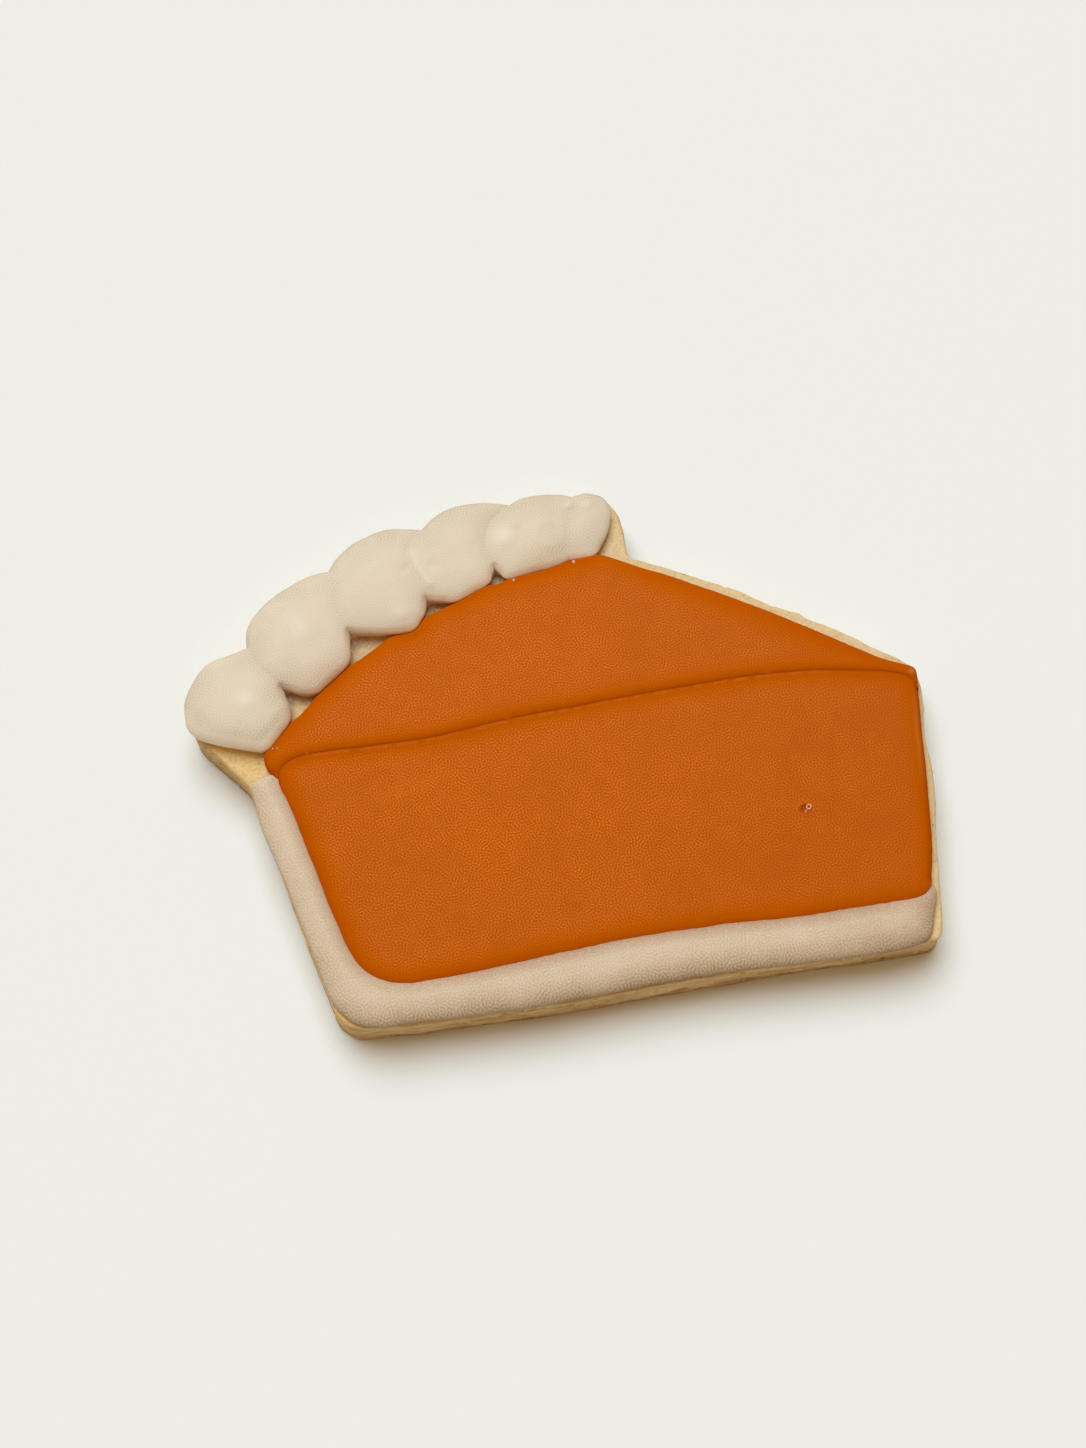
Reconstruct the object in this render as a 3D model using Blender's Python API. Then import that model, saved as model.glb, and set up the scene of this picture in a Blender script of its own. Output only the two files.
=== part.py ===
# An iced sugar cookie cut as a slice of pie, lying flat. +X runs along the straight crust edge,
# +Y points to the rim of piped puffs and +Z points up. Lengths here are millimetres.
import math

import bmesh
import bpy
import numpy as np
from mathutils import Vector
from mathutils.geometry import delaunay_2d_cdt

METRES = 0.001
GAP = 0.3  # clearance between pieces that touch

BISCUIT_THICKNESS = 6.6
BISCUIT_FOOT_FLARE = 0.4  # how far the wall leans out on its way down
BISCUIT_TOP_ROUND = 0.6
BISCUIT_FOOT_ROUND = 0.5

ICING_BASE = BISCUIT_THICKNESS + GAP
PANEL_HEIGHT = 1.5
PANEL_SHOULDER = 2.4  # distance from the edge at which a panel is at full height
BORDER_HEIGHT = 1.7
BORDER_SHOULDER = 2.7
PUFF_SHOULDER = 5.2
EDGE_RISE = 0.35  # upright part of an icing edge
EDGE_TUCK = 0.1  # how far an icing edge tucks in under its widest line

OUTLINE_STEP = 1.85
FILL_STEP = 3.2
FINE_STEP = 0.05  # spacing used to measure along a side
CLOSEST = 0.2  # outline points nearer than this become one
SHOULDER_RINGS = (0.04, 0.14, 0.32, 0.6, 1.0)  # shares of the shoulder that carry a ring
SHARP_DEGREES = 40.0  # faces that meet at less than this are shaded as one curve
CENTRE = (0.18, 0.28)  # middle of the cookie's box in the outline plan

# Outlines in plan run counter-clockwise. Each corner holds x, y, how far back from the corner its
# rounding starts, and how far the next side bows out to the right of the straight line.
BISCUIT_OUTLINE = [
    (-33.4, -33.1, 3.4, 0.3),
    (3.0, -33.68, 12.0, 0.0),
    (20.0, -33.0, 8.0, 0.0),
    (36.0, -33.0, 4.0, 0.0),
    (44.2, -32.9, 1.8, 0.0),
    (44.75, -29.8, 1.5, 0.0),
    (46.1, -20.0, 3.0, 0.0),
    (47.5, -11.0, 2.6, 0.0),
    (47.3, -5.6, 2.4, 0.0),
    (48.1, 0.0, 2.2, 0.0),
    (48.38, 4.0, 0.9, 0.0),
    (46.6, 5.0, 0.9, 0.0),
    (43.7, 6.7, 1.2, 0.0),
    (39.3, 10.1, 1.6, 0.0),
    (34.7, 12.9, 0.3, 0.0),
    (34.2, 13.6, 0.4, 0.0),
    (30.4, 15.3, 1.6, 0.0),
    (26.6, 18.1, 1.8, 0.0),
    (12.9, 24.9, 0.6, 0.0),
    (12.8, 28.6, 2.2, 0.0),
    (12.1, 32.4, 1.8, 0.0),
    (10.2, 34.1, 1.2, 0.0),
    (4.0, 34.3, 3.0, 0.0),
    (-2.1, 33.1, 0.9, 1.0),
    (-14.6, 31.6, 0.9, 1.9),
    (-27.3, 27.2, 0.9, 2.3),
    (-39.2, 18.6, 0.9, 0.2),
    (-46.4, 17.9, 5.8, 0.0),
    (-48.25, 8.7, 1.8, 0.0),
    (-41.4, 0.4, 1.6, 0.1),
]

# Seams shared by two pieces of icing, each an open run of corners.
CREASE = [
    (-37.3, 0.0, 0.0, 0.0),
    (-37.3, 2.0, 1.4, 0.0),
    (-34.9, 3.2, 1.4, 0.0),
    (-30.0, 3.4, 3.0, 0.0),
    (-18.5, 3.0, 4.5, 0.0),
    (-7.0, 4.15, 4.5, 0.0),
    (12.0, 4.95, 9.0, 0.0),
    (26.0, 5.35, 6.0, 0.0),
    (35.0, 4.75, 3.5, 0.0),
    (43.8, 3.2, 1.9, 0.0),
    (46.6, 2.1, 1.3, 0.0),
    (47.2, 0.3, 0.0, 0.0),
]
BORDER_SEAM = [
    (-37.3, 0.0, 0.0, 0.1),
    (-36.3, -3.0, 2.0, 0.0),
    (-33.4, -14.7, 5.0, 0.0),
    (-29.6, -28.5, 7.0, 0.0),
    (-14.0, -28.1, 6.0, 0.0),
    (10.0, -26.2, 16.0, 0.0),
    (25.0, -27.3, 8.0, 0.0),
    (43.3, -27.15, 2.4, 0.0),
    (44.75, -21.5, 1.6, 0.1),
    (46.75, -4.0, 2.5, 0.0),
]
RIM_SEAM = [
    (11.3, 24.2, 1.3, 0.0),
    (9.2, 25.2, 1.2, 0.0),
    (4.4, 24.8, 1.6, 0.0),
    (2.2, 24.1, 1.4, 0.0),
    (-3.6, 23.4, 2.0, 0.0),
    (-7.2, 22.8, 1.2, 0.0),
    (-10.9, 21.2, 1.2, 0.0),
    (-14.4, 20.5, 0.8, 0.0),
    (-15.8, 19.6, 0.5, 0.0),
    (-17.2, 18.1, 0.9, 0.0),
    (-20.6, 17.75, 1.2, 0.0),
    (-26.0, 14.9, 2.6, 0.0),
    (-31.1, 11.1, 2.6, 0.0),
    (-34.4, 8.3, 2.0, 0.0),
    (-38.3, 4.75, 0.5, 0.0),
]

TOP_PANEL_LEFT = [
    (-39.0, 3.8, 0.6, 0.0),
    (-38.8, 2.2, 0.7, 0.0),
    (-38.1, 1.9, 0.4, 0.0),
]
TOP_PANEL_RIGHT = [
    (47.5, 0.9, 0.4, 0.0),
    (47.7, 3.4, 0.7, 0.0),
    (43.2, 5.4, 2.4, 0.0),
    (34.0, 11.4, 4.0, 0.0),
    (24.8, 17.0, 4.0, 0.0),
]
BORDER_OUTER = [
    (-37.3, 0.0, 0.0, 0.0),
    (-37.6, 1.3, 0.7, 0.0),
    (-38.8, 1.55, 0.7, 0.0),
    (-41.2, 1.0, 1.1, 0.0),
    (-40.4, -6.0, 3.0, 0.0),
    (-38.3, -12.0, 4.0, 0.0),
    (-33.2, -33.1, 5.6, 0.0),
    (-10.0, -33.7, 10.0, 0.0),
    (10.0, -32.7, 8.0, 0.0),
    (30.0, -33.2, 6.0, 0.0),
    (38.0, -33.4, 3.0, 0.0),
    (42.6, -32.7, 3.0, 0.0),
    (43.3, -29.6, 1.6, 0.0),
    (44.3, -26.8, 0.7, 0.0),
    (43.9, -25.0, 0.0, 0.0),
]

# Each seam between two puffs runs from a notch in the rim to a notch beside the top panel.
PUFF_SEAMS = [
    [
        (-39.45, 18.9, 0.5, 0.0),
        (-38.4, 16.3, 1.5, 0.0),
        (-37.2, 14.8, 0.9, 0.0),
        (-35.4, 12.5, 0.6, 0.0),
    ],
    [
        (-27.4, 28.0, 0.5, 0.0),
        (-26.9, 24.6, 1.5, 0.0),
        (-27.0, 21.8, 1.3, 0.0),
        (-25.7, 18.9, 0.6, 0.0),
    ],
    [
        (-14.4, 32.0, 0.5, 0.0),
        (-16.6, 29.8, 1.4, 0.0),
        (-16.5, 26.3, 1.2, 0.0),
        (-15.0, 23.9, 1.0, 0.0),
        (-15.0, 21.9, 0.6, 0.0),
    ],
    [
        (-2.5, 33.7, 0.9, 0.0),
        (-5.1, 31.9, 1.5, 0.0),
        (-6.35, 29.0, 1.5, 0.0),
        (-6.1, 26.6, 0.9, 0.0),
        (-5.5, 25.1, 0.6, 0.0),
    ],
    [
        (6.3, 33.9, 0.5, 0.0),
        (5.3, 31.2, 1.5, 0.0),
        (4.5, 28.7, 1.4, 0.0),
        (4.6, 24.95, 0.6, 0.0),
    ],
]
# Where each puff between its seams leans on the top panel, from left to right.
PUFF_FEET = {
    1: [
        (-32.6, 11.15, 1.2, 0.0),
        (-30.8, 11.3, 0.7, 0.0),
        (-26.0, 15.0, 1.2, 0.0),
        (-25.9, 17.0, 0.8, 0.0),
    ],
    2: [
        (-20.8, 17.9, 1.9, 0.0),
        (-17.2, 18.0, 1.1, 0.0),
        (-15.4, 20.3, 0.9, 0.0),
    ],
    3: [
        (-11.3, 21.1, 1.1, 0.0),
        (-6.4, 23.1, 0.7, 0.0),
    ],
    4: [
        (-4.2, 23.3, 0.7, 0.0),
        (-0.6, 23.8, 1.5, 0.0),
        (2.4, 24.15, 1.3, 0.0),
    ],
}
# The same puffs along the rim, from right to left.
PUFF_RIMS = {
    1: [
        (-30.0, 27.85, 1.6, 0.0),
        (-35.7, 25.4, 2.8, 0.0),
        (-39.3, 21.6, 1.7, 0.0),
    ],
    2: [
        (-16.3, 32.4, 1.0, 0.0),
        (-19.6, 32.95, 2.0, 0.0),
        (-24.0, 31.35, 1.2, 0.0),
        (-26.3, 29.55, 0.8, 0.0),
    ],
    3: [
        (-4.5, 34.6, 1.3, 0.0),
        (-8.0, 35.03, 1.9, 0.0),
        (-12.1, 34.0, 1.9, 0.0),
    ],
    4: [
        (4.6, 34.55, 0.9, 0.0),
        (1.8, 34.78, 1.4, 0.0),
        (-0.9, 34.5, 0.8, 0.0),
    ],
}
LEFT_PUFF_END = [
    (-42.0, 18.3, 1.3, 0.0),
    (-45.2, 17.7, 2.4, 0.0),
    (-48.6, 12.8, 2.8, 0.0),
    (-48.5, 8.4, 2.2, 0.0),
    (-45.6, 6.7, 1.7, 0.0),
    (-38.7, 4.6, 0.8, 0.0),
    (-34.2, 8.7, 1.3, 0.0),
]
RIGHT_PUFF_END = [
    (8.2, 25.0, 1.1, 0.0),
    (10.4, 28.0, 1.8, 0.0),
    (11.35, 31.4, 1.4, 0.0),
    (10.5, 33.4, 1.0, 0.0),
    (8.2, 34.3, 0.9, 0.0),
]
PUFF_HEIGHTS = [3.2, 3.4, 3.3, 3.1, 3.0, 2.7]

ORANGE = (0.56, 0.119, 0.011, 1.0)
BEIGE = (0.62, 0.47, 0.32, 1.0)
CREAM = (0.76, 0.64, 0.47, 1.0)
BAKED = (0.61, 0.39, 0.15, 1.0)


def reversed_run(run):
    """The same run of corners walked the other way."""
    flipped = []
    for index in range(len(run) - 1, -1, -1):
        x, y, rounding, _ = run[index]
        bow = -run[index - 1][3] if index > 0 else 0.0
        flipped.append((x, y, rounding, bow))
    return flipped


def side_points(start, end, bow):
    """Closely spaced points from start to end along an arc that bows out to the right."""
    start = np.array(start, float)
    chord = np.array(end, float) - start
    length = math.hypot(*chord)
    share = np.linspace(0.0, 1.0, max(3, math.ceil(length / FINE_STEP)))[:, None]
    if bow == 0.0:
        return start + chord * share
    along = chord / length
    outward = np.array([along[1], -along[0]]) * math.copysign(1.0, bow)
    radius = (length**2 / 4 + bow**2) / (2 * abs(bow))
    half_angle = math.asin(length / 2 / radius)
    angle = half_angle * (2 * share - 1)
    centre = start + chord / 2 + outward * (abs(bow) - radius)
    return centre + radius * (np.sin(angle) * along + np.cos(angle) * outward)


def distances_along(points):
    steps = np.hypot(*np.diff(points, axis=0).T)
    return np.concatenate([[0.0], np.cumsum(steps)])


def points_at(points, wanted):
    travelled = distances_along(points)
    x = np.interp(wanted, travelled, points[:, 0])
    y = np.interp(wanted, travelled, points[:, 1])
    return np.stack([x, y], axis=1)


def outline_points(corners, step=OUTLINE_STEP):
    """A closed outline through rounded corners, as points about one step apart."""
    count = len(corners)
    sides = []
    for index in range(count):
        corner = corners[index]
        following = corners[(index + 1) % count]
        sides.append(side_points(corner[:2], following[:2], corner[3]))
    straights = []
    for index in range(count):
        length = distances_along(sides[index])[-1]
        first = corners[index][2]
        last = length - corners[(index + 1) % count][2]
        if last < first:
            first = last = (first + last) / 2
        spans = max(1, round((last - first) / step))
        straights.append(points_at(sides[index], np.linspace(first, last, spans + 1)))
    pieces = []
    for index in range(count):
        following = (index + 1) % count
        pieces.append(straights[index])
        rounding = corners[following][2]
        if rounding > 0.0:
            tip = np.array(corners[following][:2])
            spans = max(3, round(1.7 * rounding / step))
            share = (np.arange(1, spans) / spans)[:, None]
            entering = (1 - share) ** 2 * straights[index][-1]
            leaving = share**2 * straights[following][0]
            pieces.append(entering + 2 * share * (1 - share) * tip + leaving)
    points = np.vstack(pieces)
    apart = np.hypot(*(np.roll(points, -1, axis=0) - points).T) > CLOSEST
    return points[apart]


def moved_in(points, distance):
    """The closed outline with each point moved towards the inside."""
    heading = np.roll(points, -1, axis=0) - np.roll(points, 1, axis=0)
    heading /= np.hypot(*heading.T)[:, None]
    inward = np.stack([-heading[:, 1], heading[:, 0]], axis=1)
    return points + inward * distance


def distance_to_outline(points, outline):
    """How far each point is from the outline, and whether it lies inside."""
    starts = outline
    spans = np.roll(outline, -1, axis=0) - outline
    offset = points[:, None, :] - starts[None]
    share = (offset * spans).sum(2) / (spans**2).sum(1)
    nearest = offset - np.clip(share, 0.0, 1.0)[..., None] * spans
    distance = np.sqrt((nearest**2).sum(2)).min(1)
    above_start = starts[None, :, 1] > points[:, None, 1]
    above_end = np.roll(above_start, -1, axis=1)
    rise = np.where(spans[:, 1] == 0.0, 1.0, spans[:, 1])
    crossing = starts[:, 0] + (points[:, None, 1] - starts[:, 1]) / rise * spans[:, 0]
    crossed = (above_start != above_end) & (points[:, None, 0] < crossing)
    return distance, crossed.sum(1) % 2 == 1


def dome_rise(distance, height, shoulder):
    """Quarter-round shoulder that levels off at the given distance from the edge."""
    share = np.clip(distance / shoulder, 0.0, 1.0)
    return height * np.sqrt(1.0 - (1.0 - share) ** 2)


def fill_points(outline, shoulder):
    """Points on rings that follow the outline, then a loose triangular grid over the middle."""
    kept = []
    for share in SHOULDER_RINGS:
        offset = share * shoulder
        ring = moved_in(outline, offset)
        distance, inside = distance_to_outline(ring, outline)
        kept.append(ring[inside & (distance > 0.97 * offset)])
    low = outline.min(0)
    high = outline.max(0)
    row_rise = FILL_STEP * math.sqrt(3) / 2
    rows = np.arange(low[1], high[1], row_rise)
    for index, y in enumerate(rows):
        x = np.arange(low[0] + FILL_STEP / 2 * (index % 2), high[0], FILL_STEP)
        grid = np.stack([x, np.full(len(x), y)], axis=1)
        distance, inside = distance_to_outline(grid, outline)
        kept.append(grid[inside & (distance > shoulder + FILL_STEP / 3)])
    return np.vstack(kept)


def finish(name, colour, roughness):
    """A plain surface for one piece."""
    material = bpy.data.materials.new(name)
    material.use_nodes = True
    surface = material.node_tree.nodes["Principled BSDF"]
    surface.inputs["Base Color"].default_value = colour
    surface.inputs["Roughness"].default_value = roughness
    surface.inputs["Metallic"].default_value = 0.0
    return material


def place_piece(name, vertices, faces, height, material):
    """A piece modelled in the outline plan, set down at its height on the cookie."""
    mesh = bpy.data.meshes.new(name)
    mesh.from_pydata((vertices * METRES).tolist(), [], faces)
    shaper = bmesh.new()
    shaper.from_mesh(mesh)
    bmesh.ops.recalc_face_normals(shaper, faces=shaper.faces)
    shaper.to_mesh(mesh)
    shaper.free()
    mesh.shade_smooth()
    mesh.set_sharp_from_angle(angle=math.radians(SHARP_DEGREES))
    mesh.materials.append(material)
    piece = bpy.data.objects.new(name, mesh)
    piece.location = Vector((-CENTRE[0], -CENTRE[1], height)) * METRES
    bpy.context.scene.collection.objects.link(piece)
    piece.parent = bpy.data.objects["cookie"]


def bridge(lower, upper, count):
    """Faces between two rings of equal length, given where each starts in the vertex list."""
    faces = []
    for index in range(count):
        following = (index + 1) % count
        faces.append((lower + index, lower + following, upper + following, upper + index))
    return faces


def icing(name, corners, height, shoulder, colour, roughness):
    """A flooded or piped pad of icing: tucked edge, rounded shoulder and level or domed top."""
    widest = moved_in(outline_points(corners), GAP / 2)
    foot = moved_in(widest, EDGE_TUCK)
    count = len(widest)
    inner = fill_points(widest, shoulder)
    plan = [Vector(point) for point in np.vstack([widest, inner])]
    made = delaunay_2d_cdt(plan, [], [list(range(count))], 1, 1e-6)
    flat, _, triangles, sources = made[0], made[1], made[2], made[3]
    top = np.array([tuple(point) for point in flat])
    distance, _ = distance_to_outline(top, widest)
    on_edge = np.array([bool(found) and min(found) < count for found in sources])
    distance[on_edge] = 0.0
    level = EDGE_RISE + dome_rise(distance, height - EDGE_RISE, shoulder)
    vertices = np.column_stack([top, level])
    edge_order = {min(found): place for place, found in enumerate(sources) if found}
    first = len(vertices)
    vertices = np.vstack([vertices, np.column_stack([foot, np.zeros(count)])])
    faces = [tuple(triangle) for triangle in triangles]
    for index in range(count):
        following = (index + 1) % count
        wall = (first + index, first + following, edge_order[following], edge_order[index])
        faces.append(wall)
    faces.append(tuple(first + index for index in range(count - 1, -1, -1)))
    place_piece(name, vertices, faces, ICING_BASE, finish(name, colour, roughness))


def biscuit():
    """The baked base: level top and underside, rounded edges and a wall that flares to the foot."""
    outline = outline_points(BISCUIT_OUTLINE)
    top = BISCUIT_THICKNESS
    flare = BISCUIT_FOOT_FLARE
    profile = [  # how far in from the top edge line, and the height
        (flare * -1 + BISCUIT_FOOT_ROUND, 0.0),
        (flare * -1 + BISCUIT_FOOT_ROUND * 0.3, BISCUIT_FOOT_ROUND * 0.3),
        (flare * -1, BISCUIT_FOOT_ROUND),
        (flare * -0.8, top * 0.3),
        (0.0, top - BISCUIT_TOP_ROUND),
        (BISCUIT_TOP_ROUND * 0.3, top - BISCUIT_TOP_ROUND * 0.3),
        (BISCUIT_TOP_ROUND, top),
    ]
    count = len(outline)
    rings = []
    faces = []
    for index, (inset, height) in enumerate(profile):
        ring = moved_in(outline, inset)
        rings.append(np.column_stack([ring, np.full(count, height)]))
        if index:
            faces += bridge((index - 1) * count, index * count, count)
    faces.append(tuple(range(count - 1, -1, -1)))
    last = (len(profile) - 1) * count
    faces.append(tuple(range(last, last + count)))
    place_piece("biscuit", np.vstack(rings), faces, 0.0, finish("biscuit", BAKED, 0.85))


def puff_corners(index):
    """Corners of one puff, counted from the left end of the rim."""
    if index == 0:
        return LEFT_PUFF_END + reversed_run(PUFF_SEAMS[0])
    if index == len(PUFF_SEAMS):
        return PUFF_SEAMS[index - 1] + RIGHT_PUFF_END
    return PUFF_SEAMS[index - 1] + PUFF_FEET[index] + reversed_run(PUFF_SEAMS[index]) + PUFF_RIMS[index]


def build():
    for old in list(bpy.data.objects):
        bpy.data.objects.remove(old, do_unlink=True)
    cookie = bpy.data.objects.new("cookie", None)
    bpy.context.scene.collection.objects.link(cookie)

    biscuit()

    top_panel = CREASE[1:-1] + TOP_PANEL_RIGHT + RIM_SEAM + TOP_PANEL_LEFT
    icing("top_panel", top_panel, PANEL_HEIGHT, PANEL_SHOULDER, ORANGE, 0.5)

    cut_panel = BORDER_SEAM + reversed_run(CREASE)[:-1]
    icing("cut_panel", cut_panel, PANEL_HEIGHT, PANEL_SHOULDER, ORANGE, 0.5)

    border = BORDER_OUTER + reversed_run(BORDER_SEAM[:-2])[:-1]
    icing("crust_border", border, BORDER_HEIGHT, BORDER_SHOULDER, BEIGE, 0.6)

    for index, height in enumerate(PUFF_HEIGHTS):
        name = "rim_puff_" + str(index + 1)
        icing(name, puff_corners(index), height, PUFF_SHOULDER, CREAM, 0.55)


build()
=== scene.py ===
import math

import bpy
import numpy as np
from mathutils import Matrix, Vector
from mathutils.geometry import delaunay_2d_cdt
from mathutils.kdtree import KDTree


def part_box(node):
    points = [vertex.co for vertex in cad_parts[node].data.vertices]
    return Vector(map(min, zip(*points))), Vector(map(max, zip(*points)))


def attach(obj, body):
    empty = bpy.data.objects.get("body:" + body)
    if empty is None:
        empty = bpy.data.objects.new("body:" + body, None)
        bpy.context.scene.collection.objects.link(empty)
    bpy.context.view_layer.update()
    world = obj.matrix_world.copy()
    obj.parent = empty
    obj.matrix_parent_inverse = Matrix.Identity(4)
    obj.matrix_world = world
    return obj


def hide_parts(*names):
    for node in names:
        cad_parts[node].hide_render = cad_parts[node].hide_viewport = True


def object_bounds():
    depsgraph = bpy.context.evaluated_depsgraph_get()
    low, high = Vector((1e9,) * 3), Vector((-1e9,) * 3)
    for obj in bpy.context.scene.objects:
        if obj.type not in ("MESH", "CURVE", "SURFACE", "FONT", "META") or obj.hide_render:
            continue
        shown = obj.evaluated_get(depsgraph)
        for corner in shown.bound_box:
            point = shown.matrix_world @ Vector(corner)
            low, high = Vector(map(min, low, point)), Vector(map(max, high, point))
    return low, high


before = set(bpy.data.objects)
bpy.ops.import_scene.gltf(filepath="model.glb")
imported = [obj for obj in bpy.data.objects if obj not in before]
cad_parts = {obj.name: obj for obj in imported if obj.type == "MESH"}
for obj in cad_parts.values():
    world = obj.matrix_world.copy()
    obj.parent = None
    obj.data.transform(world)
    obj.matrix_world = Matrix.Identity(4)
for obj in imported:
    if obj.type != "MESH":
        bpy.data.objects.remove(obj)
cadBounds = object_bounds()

# An iced sugar cookie, cut as a slice of pie and lying flat. Plan positions are millimetres:
# x runs along the crust edge, y points to the piped rim, z is up.
mm = 0.001
planCentre = (0.18, 0.28)  # middle of the cookie's box in the plan
boxLow, boxHigh = (np.array(corner) / mm for corner in cadBounds)
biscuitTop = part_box("biscuit")[1][2] / mm
print("frame loaded, cookie", [round(float(size), 1) for size in boxHigh - boxLow], "mm")

view = {
    "place": (-0.013669, -0.071339, 0.265307),
    "turn": (16.2, 0.0, -8.61),  # degrees
    "lens": 50.97,
    "film": 36.0,
    "nearest": 0.01,
    "farthest": 10.0,
}


def setCamera():
    made = bpy.data.cameras.new("viewCamera")
    made.sensor_fit = "VERTICAL"
    made.sensor_height = view["film"]
    made.lens = view["lens"]
    made.clip_start = view["nearest"]
    made.clip_end = view["farthest"]
    camera = bpy.data.objects.new("viewCamera", made)
    camera.location = view["place"]
    camera.rotation_euler = [math.radians(angle) for angle in view["turn"]]
    bpy.context.scene.collection.objects.link(camera)
    bpy.context.scene.camera = camera


light = {
    "skylightPlace": (-0.9, 4.5, 8.4),  # only its direction counts
    "skylightSpread": 46.0,  # degrees, for soft shadow edges
    "skylightStrength": 2.25,
    "skylightColour": (0.988, 1.133, 1.258),
    "roomColour": (1.0, 0.664, 0.361),
    "roomStrength": 0.357,
    "backdrop": (0.80, 0.80, 0.77, 1.0),
    "table": (0.87, 0.89, 0.855, 1.0),
    "tableHalf": 1.6,  # metres
}


def setLight():
    lamp = bpy.data.lights.new("skylight", "SUN")
    lamp.angle = math.radians(light["skylightSpread"])
    lamp.energy = light["skylightStrength"]
    lamp.color = light["skylightColour"]
    skylight = bpy.data.objects.new("skylight", lamp)
    skylight.location = (0.0, 0.5, 0.9)
    skylight.rotation_euler = Vector(light["skylightPlace"]).to_track_quat("Z", "Y").to_euler()
    bpy.context.scene.collection.objects.link(skylight)
    world = bpy.data.worlds.new("room")
    world.use_nodes = True
    nodes, links = world.node_tree.nodes, world.node_tree.links
    room = nodes["Background"]
    room.inputs["Color"].default_value = (*light["roomColour"], 1.0)
    room.inputs["Strength"].default_value = light["roomStrength"]
    # what is seen behind the table stays pale, whatever light comes from it
    backdrop = nodes.new("ShaderNodeBackground")
    backdrop.inputs["Color"].default_value = light["backdrop"]
    chosen = nodes.new("ShaderNodeMixShader")
    links.new(nodes.new("ShaderNodeLightPath").outputs["Is Camera Ray"], chosen.inputs["Fac"])
    links.new(room.outputs[0], chosen.inputs[1])
    links.new(backdrop.outputs[0], chosen.inputs[2])
    links.new(chosen.outputs[0], nodes["World Output"].inputs["Surface"])
    bpy.context.scene.world = world
    bpy.context.scene.view_settings.view_transform = "Standard"


def newMaterial(name, settings):
    made = bpy.data.materials.new(name)
    made.use_nodes = True
    for socket, value in settings.items():
        made.node_tree.nodes["Principled BSDF"].inputs[socket].default_value = value
    return made


def makeTable():
    half = light["tableHalf"]
    corners = [(-half, -half, 0), (half, -half, 0), (half, half, 0), (-half, half, 0)]
    mesh = bpy.data.meshes.new("table")
    mesh.from_pydata(corners, [], [(0, 1, 2, 3)])
    settings = {"Base Color": light["table"], "Roughness": 0.8, "Specular IOR Level": 0.2}
    mesh.materials.append(newMaterial("paleTable", settings))
    table = bpy.data.objects.new("table", mesh)
    bpy.context.scene.collection.objects.link(table)


class Look:
    # a material painted in layers, with its patterns in the piece's own millimetres; a word given
    # for a number is a mark that the mesh carries, and a word given for a colour is one of the paints

    def __init__(self, name, paints, settings):
        self.paints = paints
        self.material = newMaterial(name, settings)
        self.tree = self.material.node_tree
        self.surface = self.tree.nodes["Principled BSDF"]
        self.place = self.placeAlong(1.0, 1.0, 1.0)
        self.colour = None
        self.normal = None

    def add(self, kind, inputs, **settings):
        made = self.tree.nodes.new(kind)
        for setting, value in settings.items():
            setattr(made, setting, value)
        for socket, source in inputs.items():
            self.join(source, made.inputs[socket])
        return made.outputs

    def join(self, source, target):
        # a socket is linked, anything else is set
        if isinstance(source, str):
            source = self.add("ShaderNodeAttribute", {}, attribute_name=source)["Fac"]
        if isinstance(source, bpy.types.NodeSocket):
            self.tree.links.new(source, target)
        else:
            target.default_value = source

    def placeAlong(self, *stretch):
        # place on the piece, squeezed or stretched along each axis
        own = self.add("ShaderNodeTexCoord", {})["Object"]
        scale = [share / mm for share in stretch]
        return self.add("ShaderNodeVectorMath", {0: own, 1: scale}, operation="MULTIPLY")[0]

    def axes(self):
        return self.add("ShaderNodeSeparateXYZ", {0: self.place})

    def cloud(self, size, detail=2.0, rough=0.5, wander=0.0, place=None):
        # soft random pattern with features about size millimetres across
        inputs = {"Vector": place or self.place, "Scale": 1.0 / size, "Detail": detail}
        inputs.update({"Roughness": rough, "Distortion": wander})
        return self.add("ShaderNodeTexNoise", inputs)["Fac"]

    def cells(self, size):
        # distance to the nearest of many scattered points
        inputs = {"Vector": self.place, "Scale": 1.0 / size}
        return self.add("ShaderNodeTexVoronoi", inputs)["Distance"]

    def wrinkles(self, apart, whorl):
        # fine lines that run side by side in whorls, as on a fingertip, from 0 to 1
        inputs = {"Vector": self.place, "Scale": 1.0 / whorl, "Frequency": whorl / apart, "Anisotropy": 0.0}
        return self.ramp(self.add("ShaderNodeTexGabor", inputs, gabor_type="2D")["Value"], 0.34, 0.70)

    def ramp(self, value, low, high, first=0.0, last=1.0):
        inputs = {"Value": value, "From Min": low, "From Max": high, "To Min": first, "To Max": last}
        return self.add("ShaderNodeMapRange", inputs)["Result"]

    def sums(self, how, first, second):
        return self.add("ShaderNodeMath", {0: first, 1: second}, operation=how)[0]

    def times(self, first, second):
        return self.sums("MULTIPLY", first, second)

    def paint(self, colour):
        return (*self.paints[colour], 1.0) if isinstance(colour, str) else colour

    def mix(self, share, first, second):
        inputs = {0: share, 6: self.paint(first), 7: self.paint(second)}
        return self.add("ShaderNodeMix", inputs, data_type="RGBA")[2]

    def cover(self, share, colour, strength=None):
        # a thin coat of colour over what is there
        if strength is not None:
            share = self.times(share, strength)
        self.colour = self.mix(share, self.colour, colour)

    def relief(self, height, depth):
        # depth in millimetres for a height pattern that runs from 0 to 1
        inputs = {"Height": height, "Strength": 1.0, "Distance": depth * mm}
        if self.normal is not None:
            inputs["Normal"] = self.normal
        self.normal = self.add("ShaderNodeBump", inputs)["Normal"]

    def finish(self, roughness):
        self.join(self.colour, self.surface.inputs["Base Color"])
        self.join(roughness, self.surface.inputs["Roughness"])
        self.join(self.normal, self.surface.inputs["Normal"])
        return self.material


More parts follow.
